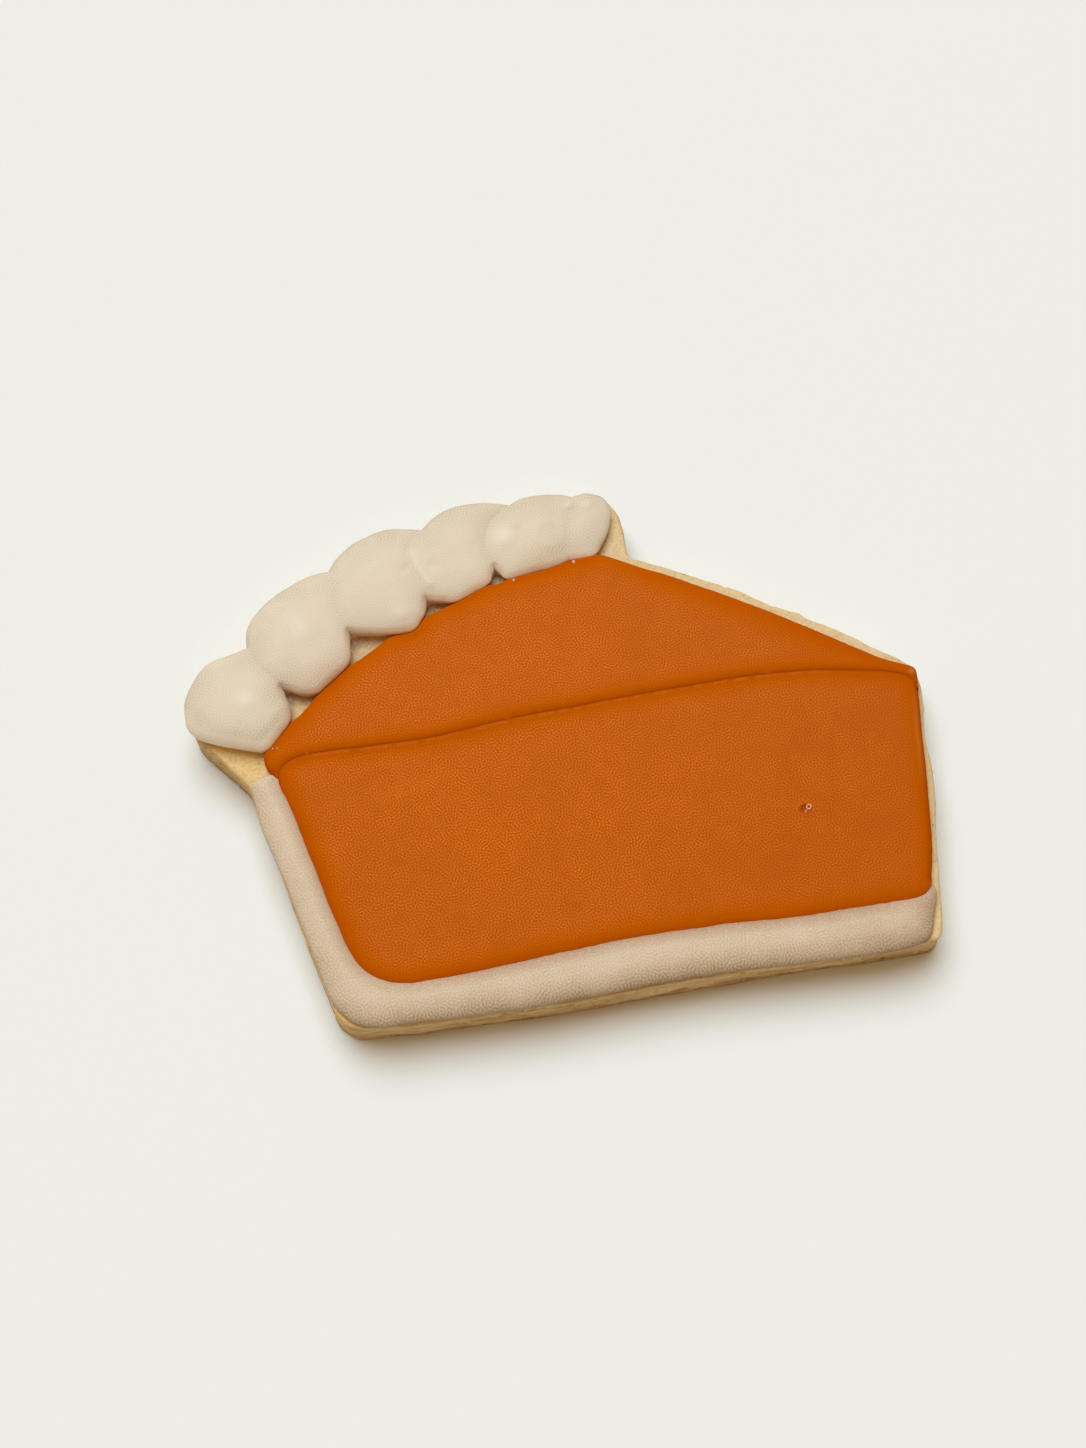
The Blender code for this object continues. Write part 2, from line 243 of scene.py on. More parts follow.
# plan outlines: each corner is x, y, where its rounding starts, and how far the next side bows;
# what a corner leaves out is nothing
outlines = {
    "biscuit": [
        (-33.4, -33.1, 3.4, 0.3), (3.0, -33.6, 12.0), (20.0, -33.0, 8.0), (36.0, -33.0, 4.0),
        (44.2, -32.9, 1.8), (44.75, -29.8, 1.5), (46.1, -20.0, 3.0), (47.5, -11.0, 2.6),
        (47.3, -5.6, 2.4), (48.25, -0.4, 2.0), (47.9, 3.7, 0.9), (46.4, 5.0, 0.9),
        (43.7, 6.7, 1.2), (39.3, 10.1, 1.6), (34.7, 12.9, 0.3), (34.2, 13.6, 0.4),
        (30.4, 15.3, 1.6), (26.6, 18.1, 1.8), (12.9, 24.9, 0.6), (12.8, 28.6, 2.2),
        (12.1, 32.4, 1.8), (10.2, 34.1, 1.2), (4.0, 34.3, 3.0), (-2.1, 33.1, 0.9, 1.0),
        (-14.6, 31.6, 0.9, 1.9), (-27.3, 27.2, 0.9, 2.3), (-39.2, 18.6, 0.9, 0.2), (-46.4, 17.9, 5.8),
        (-48.3, 8.7, 1.8), (-41.4, 0.4, 1.6, 0.1),
    ],
    "crease": [
        (-37.3, 0.0), (-37.3, 2.0, 1.4), (-34.9, 3.2, 1.4), (-30.0, 3.4, 3.0), (-18.5, 3.0, 4.5),
        (-7.0, 4.15, 4.5), (12.0, 4.95, 9.0), (26.0, 5.35, 6.0), (35.0, 4.75, 3.5), (43.8, 3.2, 1.9),
        (46.6, 2.1, 1.3), (47.2, 0.3),
    ],
    "borderSeam": [
        (-37.3, 0.0, 0.0, 0.1), (-36.3, -3.0, 2.0), (-33.4, -14.7, 5.0), (-29.6, -28.5, 7.0),
        (-14.0, -28.1, 6.0), (10.0, -26.2, 16.0), (25.0, -27.3, 8.0), (43.3, -27.15, 2.4),
        (44.75, -21.5, 1.6, 0.1), (46.75, -4.0, 2.5),
    ],
    "spikeTip": (43.9, -25.0),  # where the border runs out in a point
    "rimSeam": [
        (11.3, 24.2, 1.3), (9.2, 25.2, 1.2), (4.4, 24.8, 1.6), (2.2, 24.1, 1.4), (-3.6, 23.4, 2.0),
        (-7.2, 22.8, 1.2), (-10.9, 21.2, 1.2), (-14.4, 20.5, 0.8), (-15.8, 19.6, 0.5), (-17.2, 18.1, 0.9),
        (-20.6, 17.75, 1.2), (-26.0, 14.9, 2.6), (-31.1, 11.1, 2.6), (-34.4, 8.3, 2.0), (-38.3, 4.75, 0.5),
    ],
    "topLeft": [(-39.0, 3.8, 0.6), (-38.8, 2.2, 0.7), (-38.1, 1.5, 0.4)],
    "topRight": [
        (47.5, 0.9, 0.4), (47.7, 3.4, 0.7), (43.2, 5.4, 2.4), (34.0, 11.4, 4.0), (24.8, 17.0, 4.0),
    ],
    "borderOuter": [
        (-37.3, 0.0), (-37.5, 1.5, 0.7), (-38.8, 1.7, 0.7), (-41.2, 1.0, 1.1), (-40.4, -6.0, 3.0),
        (-38.3, -12.0, 4.0), (-33.2, -33.1, 5.6), (-10.0, -33.7, 10.0), (10.0, -32.7, 8.0),
        (30.0, -33.2, 6.0), (38.0, -33.4, 3.0), (42.6, -32.7, 3.0), (43.3, -29.6, 1.6),
        (44.3, -26.8, 0.7), (43.9, -25.0),
    ],
    "finestStep": 0.05,  # between the points that a side is measured by
    "samePlace": 0.02,  # points closer than this are one
}


def sidePoints(start, end, bow):
    # close points from start to end along an arc that bows out to the right
    start = np.array(start, float)
    chord = np.array(end, float) - start
    length = math.hypot(*chord)
    share = np.linspace(0.0, 1.0, max(3, math.ceil(length / outlines["finestStep"])))[:, None]
    if bow == 0.0:
        return start + chord * share
    along = chord / length
    outward = np.array([along[1], -along[0]]) * math.copysign(1.0, bow)
    radius = (length**2 / 4 + bow**2) / (2 * abs(bow))
    angle = math.asin(length / 2 / radius) * (2 * share - 1)
    centre = start + chord / 2 + outward * (abs(bow) - radius)
    return centre + radius * (np.sin(angle) * along + np.cos(angle) * outward)


def travelled(line):
    return np.concatenate([[0.0], np.cumsum(np.hypot(*np.diff(line, axis=0).T))])


def pointsAt(line, wanted):
    along = travelled(line)
    return np.stack([np.interp(wanted, along, line[:, axis]) for axis in (0, 1)], axis=1)


def straightStretches(corners, step, closed):
    # the part of each side between the roundings at its two ends
    count = len(corners)
    sideCount = count if closed else count - 1
    straights = []
    for index in range(sideCount):
        following = corners[(index + 1) % count]
        side = sidePoints(corners[index][:2], following[:2], corners[index][3])
        first = corners[index][2] if closed or index > 0 else 0.0
        last = travelled(side)[-1] - (following[2] if closed or index < sideCount - 1 else 0.0)
        if last < first:
            first = last = (first + last) / 2
        spans = max(1, round((last - first) / step))
        straights.append(pointsAt(side, np.linspace(first, last, spans + 1)))
    return straights


def roundedLine(corners, step, closed=True):
    # a line through rounded corners, with points about one step apart
    corners = [(*corner, 0.0, 0.0)[:4] for corner in corners]
    count = len(corners)
    straights = straightStretches(corners, step, closed)
    pieces = []
    for index, straight in enumerate(straights):
        pieces.append(straight)
        if not closed and index == len(straights) - 1:
            break
        tip = np.array(corners[(index + 1) % count][:2])
        leaving = straights[(index + 1) % len(straights)][0]
        spans = max(3, round(1.7 * corners[(index + 1) % count][2] / step))
        share = (np.arange(1, spans) / spans)[:, None]
        if np.hypot(*(leaving - straight[-1])) > outlines["samePlace"]:
            turning = (1 - share) ** 2 * straight[-1] + 2 * share * (1 - share) * tip + share**2 * leaving
            pieces.append(turning)
    points = np.vstack(pieces)
    apart = np.hypot(*np.diff(points, axis=0).T) > outlines["samePlace"]
    kept = points[np.concatenate([[True], apart])]
    if closed and np.hypot(*(kept[-1] - kept[0])) < outlines["samePlace"]:
        kept = kept[:-1]
    return kept


def ripple(places, size, seed):
    # smooth random field from about -1 to 1, with bumps size millimetres across
    lattice = 48
    values = np.random.default_rng(seed).uniform(-1.0, 1.0, (lattice, lattice, lattice))
    places = np.asarray(places, float)
    if places.shape[1] == 2:
        places = np.column_stack([places, np.zeros(len(places))])
    cell = places / np.array(size, float) + 700.37  # well away from zero
    low = np.floor(cell).astype(int)
    share = cell - low
    share = share**3 * (share * (share * 6 - 15) + 10)
    total = np.zeros(len(places))
    for corner in range(8):
        step = np.array([corner & 1, (corner >> 1) & 1, (corner >> 2) & 1])
        weight = np.prod(np.where(step, share, 1 - share), axis=1)
        at = (low + step) % lattice
        total += weight * values[at[:, 0], at[:, 1], at[:, 2]]
    return total


def ripples(places, *layers):
    # several fields on one another: each layer is its height, size and seed
    return sum(height * ripple(places, size, seed) for height, size, seed in layers)


def handWobble(points):
    # the hand's unevenness, the same for every outline that passes through a place
    drift = np.column_stack([ripple(points, 5.0, 11), ripple(points, 5.0, 12)]) * 0.10
    nibs = np.column_stack([ripple(points, 0.9, 13), ripple(points, 0.9, 14)]) * 0.045
    return points + drift + nibs


def handDrawn(corners, step=0.2):
    return handWobble(roundedLine(corners, step, closed=False))


def smooth(value, low, high):
    share = np.clip((value - low) / (high - low), 0.0, 1.0)
    return share * share * (3 - 2 * share)


def clamped(value):
    return np.clip(value, 0.0, 1.0)


def dome(distance, shoulder, lift=0.0):
    # a swelling top: lift at the edge, 1 from the shoulder on
    return lift + (1 - lift) * np.sqrt(1.0 - (1.0 - clamped(distance / shoulder)) ** 2.4)


def bell(value, width):
    return np.exp(-((value / width) ** 2))


def distanceTo(points, place):
    return np.hypot(*(points - np.array(place)).T)


def mound(points, place, radius):
    # a round soft bump, 1 at its middle
    return np.exp(-((distanceTo(points, place) / radius) ** 2) * 2)


def highest(points, mounds):
    # the tallest of some mounds at each point: each has its place, radius and height
    return np.max([height * mound(points, place, radius) for place, radius, height in mounds], axis=0)


lineTrees = {}


def nearestOn(points, line):
    # number of the nearest point of a line, found with a tree that is kept for each line
    key = id(line)
    if key not in lineTrees:
        tree = KDTree(len(line))
        for number, (x, y) in enumerate(line.tolist()):
            tree.insert((x, y, 0.0), number)
        tree.balance()
        lineTrees[key] = (tree, line)
    find = lineTrees[key][0].find
    return np.array([find((x, y, 0.0))[1] for x, y in points.tolist()], int)


def nearLine(points, line, closed=False):
    # distance to the two stretches of the line beside its nearest point
    nearest = nearestOn(points, line)
    last = len(line) - 1
    found = np.full(len(points), np.inf)
    for shift in (-1, 0):
        first, second = nearest + shift, nearest + shift + 1
        if closed:
            first, second = first % len(line), second % len(line)
        else:
            first, second = np.clip(first, 0, last), np.clip(second, 0, last)
        span = line[second] - line[first]
        offset = points - line[first]
        share = clamped((offset * span).sum(1) / np.maximum((span**2).sum(1), 1e-12))
        found = np.minimum(found, np.hypot(*(offset - share[:, None] * span).T))
    return found


def nearLines(points, lines):
    return np.min([nearLine(points, line) for line in lines], axis=0)


def insideLine(points, line):
    # counts the sides that a ray to the right crosses
    inside = np.zeros(len(points), bool)
    x, y = points[:, 0], points[:, 1]
    for (x0, y0), (x1, y1) in zip(line, np.roll(line, -1, axis=0)):
        if y0 == y1:
            continue
        crossed = (y >= min(y0, y1)) & (y < max(y0, y1))
        inside[crossed] ^= x[crossed] < x0 + (y[crossed] - y0) * (x1 - x0) / (y1 - y0)
    return inside


def outwardOf(line):
    heading = np.roll(line, -1, axis=0) - np.roll(line, 1, axis=0)
    heading /= np.hypot(*heading.T)[:, None]
    return np.stack([heading[:, 1], -heading[:, 0]], axis=1)


def movedIn(line, distance):
    return line - outwardOf(line) * np.reshape(distance, (-1, 1))


def scatteredGrid(low, high, spacing, seed):
    jitter = np.random.default_rng(seed)
    rows = np.arange(low[1], high[1], spacing * math.sqrt(3) / 2)
    columns = np.arange(low[0], high[0], spacing)
    grid = np.array([(x + spacing / 2 * (row % 2), y) for row, y in enumerate(rows) for x in columns])
    return grid + jitter.uniform(-0.16, 0.16, grid.shape) * spacing


def spotRings(place, radius, fine):
    # fine points around a place
    kept = []
    for reach in np.arange(radius, 0.0, -fine):
        turns = max(6, round(2 * math.pi * reach / fine))
        angle = 2 * math.pi * np.arange(turns) / turns
        kept.append(np.array(place) + reach * np.column_stack([np.cos(angle), np.sin(angle)]))
    kept.append(np.array([place]))
    return kept


def triangulated(points, count):
    # joins points into triangles inside the outline that the first count of them make
    plan = [Vector(point) for point in points]
    made = delaunay_2d_cdt(plan, [], [list(range(count))], 1, 1e-7)
    flat = np.array([tuple(point) for point in made[0]])
    triangles = np.array([tuple(face) for face in made[2]])
    return flat, triangles, made[3]


def fillOutline(edge, spacing, rings, seed, spots=(), chosen=None):
    # points inside an outline, on rings near the edge and a loose grid over the rest, then triangles
    kept = []
    for offset in rings:
        ring = movedIn(edge, offset)
        if offset > 0.25:
            ring = ring[::2]
        clear = insideLine(ring, edge) & (nearLine(ring, edge, True) > 0.9 * offset)
        kept.append(ring[clear])
    grid = scatteredGrid(edge.min(0), edge.max(0), spacing, seed)
    grid = grid[insideLine(grid, edge)]
    grid = grid[nearLine(grid, edge, True) > rings[-1] + spacing * 0.55]
    if chosen is not None:
        grid = grid[chosen(grid)]
    for place, radius, fine in spots:
        grid = grid[distanceTo(grid, place) > radius + spacing * 0.4]
        kept += spotRings(place, radius, fine)
    flat, triangles, origins = triangulated(np.vstack([edge, *kept, grid]), len(edge))
    order = np.full(len(edge), -1)
    for place, sources in enumerate(origins):
        for source in sources:
            if source < len(edge):
                order[source] = place
    return flat, triangles, order


def fillUnder(edge):
    # triangles over a plain outline, numbered as its points are
    _, triangles, origins = triangulated(edge, len(edge))
    return np.array([min(sources) for sources in origins])[triangles]


def ringFaces(lower, upper):
    # triangles between two rings of vertex numbers
    nextLower, nextUpper = np.roll(lower, -1), np.roll(upper, -1)
    first = np.column_stack([lower, nextLower, nextUpper])
    second = np.column_stack([lower, nextUpper, upper])
    return np.vstack([first, second])


def flatPlaces(vertices, flatMap, corners, topCorners):
    # where each corner lies on a flat sheet: top and sides opened out, the underside small beside them
    start = flatMap.min(0)
    wide, tall = flatMap.max(0) - start
    sheet = flatMap[corners] - start
    under = vertices[:, :2] * 0.3
    beside = (wide * 1.03, 0.0) if tall > wide else (0.0, tall * 1.03)
    sheet[topCorners:] = under[corners[topCorners:]] - under.min(0) + np.array(beside)
    return sheet / sheet.max() * 0.985 + 0.0075


def makePiece(piece, look, vertices, faces, baseFaces, flatMap, marks):
    # vertices in plan millimetres; flatMap is a flat place for each vertex, baseFaces lie underneath
    inside = 1e-4
    placed = np.clip(vertices - np.array([*planCentre, 0.0]), boxLow + inside, boxHigh - inside)
    mesh = bpy.data.meshes.new(piece["name"])
    mesh.from_pydata((placed * mm).tolist(), [], np.vstack([faces, baseFaces]).tolist())
    mesh.update()
    mesh.shade_smooth()
    mesh.set_sharp_from_angle(angle=math.radians(50.0))
    for word, values in marks.items():
        mesh.attributes.new(word, "FLOAT", "POINT").data.foreach_set("value", values.astype(np.float32))
    corners = np.empty(len(mesh.loops), np.int32)
    mesh.loops.foreach_get("vertex_index", corners)
    places = flatPlaces(vertices, flatMap, corners, 3 * len(faces))
    mesh.uv_layers.new(name="OFBake").data.foreach_set("uv", places.astype(np.float32).ravel())
    mesh.materials.append(look)
    made = bpy.data.objects.new(piece["name"], mesh)
    bpy.context.scene.collection.objects.link(made)
    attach(made, "root")
    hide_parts(piece["node"])
    print(piece["name"], len(mesh.polygons), "faces")


def riseOver(node):
    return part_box(node)[1][2] / mm - biscuitTop


def icingPad(piece, look, edge, heightOf, marksOf, freeAt, spots=()):
    # a pad of icing: its top follows heightOf, and free edges bulge over a tucked foot
    flat, triangles, order = fillOutline(edge, piece["spacing"], piece["rings"], piece["seed"], spots)
    top = biscuitTop + heightOf(flat)
    vertices = [np.column_stack([flat, top])]
    flatMap = [flat]
    marks = [marksOf(flat)]
    faces = [triangles]
    ring, total = order, len(flat)
    free, outward, edgeHeight = freeAt(edge), outwardOf(edge), top[order]
    drop = biscuitTop - piece["sink"] - edgeHeight
    for step in range(1, piece["footSteps"] + 1):
        share = step / piece["footSteps"]
        tuck = piece["tuck"] * (1 - math.cos(share * math.pi / 2))
        inset = free * tuck - (1 - free) * piece["underlap"] * share
        vertices.append(np.column_stack([movedIn(edge, inset), edgeHeight + drop * share]))
        flatMap.append(edge - outward * (drop * share)[:, None])
        marks.append({word: values[order] for word, values in marks[0].items()})
        lower = np.arange(total, total + len(edge))
        faces.append(ringFaces(lower, ring))
        ring = lower
        total += len(edge)
    baseFaces = ring[fillUnder(edge)][:, ::-1]
    marks = {word: np.concatenate([part[word] for part in marks]) for word in marks[0]}
    makePiece(piece, look, np.vstack(vertices), np.vstack(faces), baseFaces, np.vstack(flatMap), marks)


# the seams that two pieces share
creaseLine = handDrawn(outlines["crease"])
topCorners = outlines["topRight"] + outlines["rimSeam"] + outlines["topLeft"]
topRest = handDrawn([outlines["crease"][-1], *topCorners, outlines["crease"][0]])
topEdge = np.vstack([creaseLine[:-1], topRest[:-1]])
cutRest = handDrawn(outlines["borderSeam"] + outlines["crease"][-1:], 0.17)
cutEdge = np.vstack([cutRest[:-1], creaseLine[::-1][:-1]])
spikeAt = int(np.argmin(distanceTo(cutRest, outlines["spikeTip"])))
borderSeamLine = cutRest[: spikeAt + 1]
borderRest = handDrawn(outlines["borderOuter"])
borderEdge = np.vstack([borderRest[:-1], borderSeamLine[::-1][:-1]])
topFree = [topRest[3:-3]]
cutFree = [cutRest[spikeAt:]]
borderFree = [borderRest[6:]]

icing = {
    "rings": (0.03, 0.09, 0.18, 0.3),  # fine rings of points just inside the edge
    "underlap": 0.25,  # how far a piece runs under its neighbour
    "sink": 0.12,  # how far its foot goes into the dough
    "footSteps": 3,
}

puffs = {
    **icing,
    # each seam runs from a notch in the rim to a notch beside the panel
    "seams": [
        [(-39.45, 18.9), (-38.4, 16.3, 1.5), (-37.2, 14.8, 0.9), (-35.4, 12.5)],
        [(-27.4, 28.0), (-26.9, 24.6, 1.5), (-27.0, 21.8, 1.3), (-25.7, 18.9)],
        [(-14.4, 32.0), (-16.6, 29.8, 1.4), (-16.5, 26.3, 1.2), (-15.0, 23.9, 1.0), (-15.0, 21.9)],
        [(-2.2, 33.8), (-5.1, 31.9, 1.5), (-6.35, 29.0, 1.5), (-6.1, 26.6, 0.9), (-5.5, 25.1)],
        [(6.3, 33.9), (5.3, 31.2, 1.5), (4.5, 28.7, 1.4), (4.6, 24.95)],
    ],
    # the side that leans on the top panel, from the notch on its left to the one on its right
    "feet": {
        1: [(-32.6, 11.15, 1.2), (-30.8, 11.3, 0.7), (-26.0, 15.0, 1.2), (-25.9, 17.0, 0.8)],
        2: [(-20.8, 17.9, 1.9), (-17.2, 18.0, 1.1), (-15.4, 20.3, 0.9)],
        3: [(-11.3, 21.1, 1.1), (-6.4, 23.1, 0.7)],
        4: [(-4.2, 23.3, 0.7), (-0.6, 23.8, 1.5), (2.4, 24.15, 1.3)],
    },
    # the side on the rim, from the notch on its right to the one on its left
    "rims": {
        1: [(-30.0, 27.85, 1.6), (-35.7, 25.4, 2.8), (-39.3, 21.6, 1.7)],
        2: [(-16.3, 32.4, 1.0), (-19.6, 32.95, 2.0), (-24.0, 31.35, 1.2), (-26.3, 29.55, 0.8)],
        3: [(-4.5, 34.6, 1.3), (-8.0, 35.1, 1.9), (-12.1, 34.0, 1.9)],
        4: [(4.6, 34.55, 0.9), (1.8, 34.85, 1.4), (-0.9, 34.5, 0.8)],
    },
    "leftEnd": [
        (-42.0, 18.3, 1.3), (-45.2, 17.7, 2.4), (-48.7, 12.8, 2.8), (-48.5, 8.4, 2.2),
        (-45.6, 6.7, 1.7), (-38.4, 4.3, 1.2), (-34.2, 8.6, 1.9),
    ],
    "rightEnd": [
        (8.2, 25.0, 1.1), (10.4, 28.0, 1.8), (11.35, 31.4, 1.4), (10.5, 33.4, 1.0), (8.2, 34.3, 0.9),
    ],
    "middles": [(-41.6, 11.4), (-32.6, 18.6), (-22.2, 24.4), (-10.4, 27.9), (-1.2, 29.2), (7.2, 29.8)],
    # each seam: how strongly it holds the swell down, and the depth of its fine fold
    "holds": [(0.34, 0.04), (0.26, 0.02), (0.30, 0.03), (0.85, 0.06), (0.16, 0.0)],
    "holdWidth": 0.9,
    "foldWidth": 0.28,
    # soft bumps and hollows: place, radius and height
    "mounds": [
        ((-13.6, 26.4), 1.2, -0.09), ((-17.3, 26.4), 0.9, -0.09),  # beside the fourth puff's lip
        ((-3.6, 28.6), 1.9, 0.30), ((-2.0, 30.6), 1.1, 0.18),  # the fifth puff's full left cheek
        ((5.7, 32.4), 0.75, 0.24), ((8.2, 32.3), 1.1, 0.20),  # the last puff's peaks
        ((-18.6, 19.9), 1.9, 0.20),  # the third puff's lobe on the panel
        ((-32.0, 19.8), 2.6, 0.16), ((-46.4, 11.0), 1.6, 0.12), ((-40.2, 11.2), 2.2, 0.20),
        ((-39.3, 8.1), 1.2, 0.05), ((-45.7, 9.0), 1.2, -0.05),
    ],
    "lip": np.array([(-15.9, 28.2), (-15.6, 26.6), (-15.1, 25.2), (-14.5, 24.0)]),
    "lipHeight": 0.18,
    "bluntFold": np.array([(-39.6, 6.6), (-37.9, 7.7), (-36.5, 9.1), (-35.5, 9.9)]),
    "bluntHeight": 0.07,
    "ridgeWidth": 0.75,
    "ring": (2.5, 28.6),  # a faint ring in the fifth puff
    "pinholes": 34,
    # places with a painted highlight, or with a painted shade at the foot by the panel: place, radius and
    # share
    "highlightPeaks": [((5.7, 32.4), 0.9, 0.25), ((8.2, 32.3), 0.9, 0.25)],
    "highlightCheeks": [((-3.8, 28.6), 1.9, 0.3), ((-40.2, 11.2), 1.9, 0.3), ((-32.0, 19.6), 1.9, 0.3)],
    "footShadePlaces": [((-31.0, 13.5), 6.5, 1.0), ((1.0, 26.0), 4.5, 0.8), ((-37.0, 8.5), 3.5, 0.45)],
    "glint": ((-44.0, 6.6), 5.6),
    "reach": 2.2,  # how quickly the icing swells up from its sides
    "swellStep": 0.3,
    "swellRounds": 500,
    "evenSide": 0.7,  # close to a side the swell grows evenly with the distance
    "footLift": 0.48,
    "roundness": 0.62,
    "spacing": 0.21,
    "tuck": 0.3,
    "footSteps": 5,
    "slot": "cream_icing",
}
puffCount = len(puffs["middles"])


def puffSides(index):
    # the free sides of one puff: along the panel, then along the rim
    if index == 0:
        after = puffs["seams"][0]
        return [[after[0]] + puffs["leftEnd"] + [after[-1]]]
    before = puffs["seams"][index - 1]
    if index == puffCount - 1:
        return [[before[-1]] + puffs["rightEnd"] + [before[0]]]
    after = puffs["seams"][index]
    foot = [before[-1]] + puffs["feet"][index] + [after[-1]]
    rim = [after[0]] + puffs["rims"][index] + [before[0]]
    return [foot, rim]


seamLines = [handDrawn(corners) for corners in puffs["seams"]]
freeSides = [[handDrawn(run) for run in puffSides(index)] for index in range(puffCount)]
allPuffSides = [side for sides in freeSides for side in sides]
outerSides = [sides[-1] for sides in freeSides]
panelSide = handDrawn(outlines["rimSeam"][1:])
innerNotches = [corners[-1][:2] for corners in puffs["seams"]]
puffHeights = [riseOver("rim_puff_" + str(index + 1)) for index in range(puffCount)]


def puffEdge(index):
    sides = freeSides[index]
    if index == 0:
        parts = [seamLines[0][::-1], sides[0]]
    elif index == puffCount - 1:
        parts = [seamLines[-1], sides[0]]
    else:
        parts = [seamLines[index - 1], sides[0], seamLines[index][::-1], sides[1]]
    return np.vstack([part[:-1] for part in parts])


def swellMap():
    # icing swells like a soap film: nothing at the free sides, full far from them, held down at seams
    step = puffs["swellStep"]
    edges = [puffEdge(index) for index in range(puffCount)]
    low = np.min([edge.min(0) for edge in edges], axis=0) - 1.0
    high = np.max([edge.max(0) for edge in edges], axis=0) + 1.0
    columns, rows = np.ceil((high - low) / step).astype(int) + 1
    across, up = np.meshgrid(low[0] + step * np.arange(columns), low[1] + step * np.arange(rows))
    places = np.column_stack([across.ravel(), up.ravel()])
    inside = np.any([insideLine(places, edge) for edge in edges], axis=0)
    source = step**2 / puffs["reach"] ** 2
    hold = np.full(len(places), source)
    for line, (strength, _) in zip(seamLines, puffs["holds"]):
        hold += step**2 * strength * bell(nearLine(places, line), puffs["holdWidth"])
    inside, hold = inside.reshape(rows, columns), hold.reshape(rows, columns)
    swell = np.zeros((rows, columns))
    for _ in range(puffs["swellRounds"]):
        padded = np.pad(swell, 1)
        around = padded[:-2, 1:-1] + padded[2:, 1:-1] + padded[1:-1, :-2] + padded[1:-1, 2:]
        swell = inside * (around + source) / (4 + hold)
    return low, swell


puffLow, puffSwell = swellMap()


def swellAt(points):
    place = np.clip((points - puffLow) / puffs["swellStep"], 0, np.array(puffSwell.shape)[::-1] - 1.001)
    column, row = np.floor(place).astype(int).T
    share = place - np.floor(place)
    left = puffSwell[row, column] * (1 - share[:, 1]) + puffSwell[row + 1, column] * share[:, 1]
    right = puffSwell[row, column + 1] * (1 - share[:, 1]) + puffSwell[row + 1, column + 1] * share[:, 1]
    return left * (1 - share[:, 0]) + right * share[:, 0]


def freeSideBeside(points):
    # the distance to the nearest free side, the nearest place on it, and where it heads there
    away = np.array([nearLine(points, side) for side in allPuffSides])
    nearest = away.argmin(0)
    place, heading = np.zeros((2, len(points), 2))
    for number, side in enumerate(allPuffSides):
        close = nearest == number
        if close.any():
            at = nearestOn(points[close], side)
            place[close], heading[close] = side[at], np.gradient(side, axis=0)[at]
    return away.min(0), place, heading / np.hypot(*heading.T)[:, None]


def puffShare(points):
    # share of the full height at each point, and the distance to the free sides
    free, place, heading = freeSideBeside(points)
    even = puffs["evenSide"]
    inward = np.column_stack([-heading[:, 1], heading[:, 0]])
    swell = np.where(free < even, swellAt(place + inward * even) * free / even, swellAt(points))
    return puffs["footLift"] + (1 - puffs["footLift"]) * clamped(swell) ** puffs["roundness"], free


def pinholeSpots():
    # small holes that bubbles leave
    draw = np.random.default_rng(5)
    spots = []
    for _ in range(puffs["pinholes"]):
        place = tuple(draw.uniform((-48.0, 6.0), (11.0, 33.5)))
        spots.append((place, draw.uniform(0.16, 0.32), -draw.uniform(0.02, 0.06)))
    return spots


pinholes = pinholeSpots()


def puffHeightAt(points):
    share, free = puffShare(points)
    weights = np.array([1.0 / (distanceTo(points, middle) + 1.0) ** 4 for middle in puffs["middles"]])
    full = (np.array(puffHeights)[:, None] * weights).sum(0) / weights.sum(0)
    uneven = ripples(points, (0.07, 7.0, 21), (0.04, 3.1, 22), (0.012, 1.2, 23))
    height = share * full + smooth(free, 0.0, 1.6) * uneven
    for line, (_, fold) in zip(seamLines, puffs["holds"]):
        height -= fold * bell(nearLine(points, line), puffs["foldWidth"])
    height += puffs["lipHeight"] * bell(nearLine(points, puffs["lip"]), puffs["ridgeWidth"])
    height += puffs["bluntHeight"] * bell(nearLine(points, puffs["bluntFold"]), puffs["ridgeWidth"])
    ring = distanceTo(points, puffs["ring"])
    height += 0.05 * bell(ring - 1.7, 0.5) - 0.06 * bell(ring, 1.1)
    for place, radius, rise in puffs["mounds"] + pinholes:
        height += rise * mound(points, place, radius)
    return height


def puffMarks(points):
    free, _, heading = freeSideBeside(points)
    panel = nearLine(points, panelSide)
    # free sides that face the low end of the cookie, more so in two places, get a painted light
    low = (1 - smooth(free, 0.2, 1.7)) * smooth(heading @ np.array([0.9, -0.3]), -0.2, 0.7)
    low *= 0.3 + 0.7 * mound(points, (-42.0, 7.0), 9.0) + 0.5 * mound(points, (-18.5, 18.5), 5.0)
    # a painted highlight: a thin light edge along the low side of the first puff
    glint = (1 - smooth(free, 0.02, 0.2)) * mound(points, *puffs["glint"])
    # painted highlights on the fourth puff's lip, the last puff's peaks and the full cheeks
    lipLight = 0.25 * bell(nearLine(points, puffs["lip"]), 0.7)
    paintedHighlights = highest(points, puffs["highlightPeaks"]) + highest(points, puffs["highlightCheeks"])
    return {
        "rim": clamped(free / 3.0),
        # how far from a seam, for the painted shade along it
        "seam": clamped(nearLines(points, seamLines) / 2.0),
        "panel": clamped(panel / 1.6),
        # how far in from the rim, for the painted shade along it
        "outer": clamped(nearLines(points, outerSides) / 4.3),
        "gleam": clamped(glint + lipLight + paintedHighlights),
        "low": low,
        "warm": clamped((1 - smooth(panel, 0.4, 5.0)) * highest(points, puffs["footShadePlaces"])),
    }


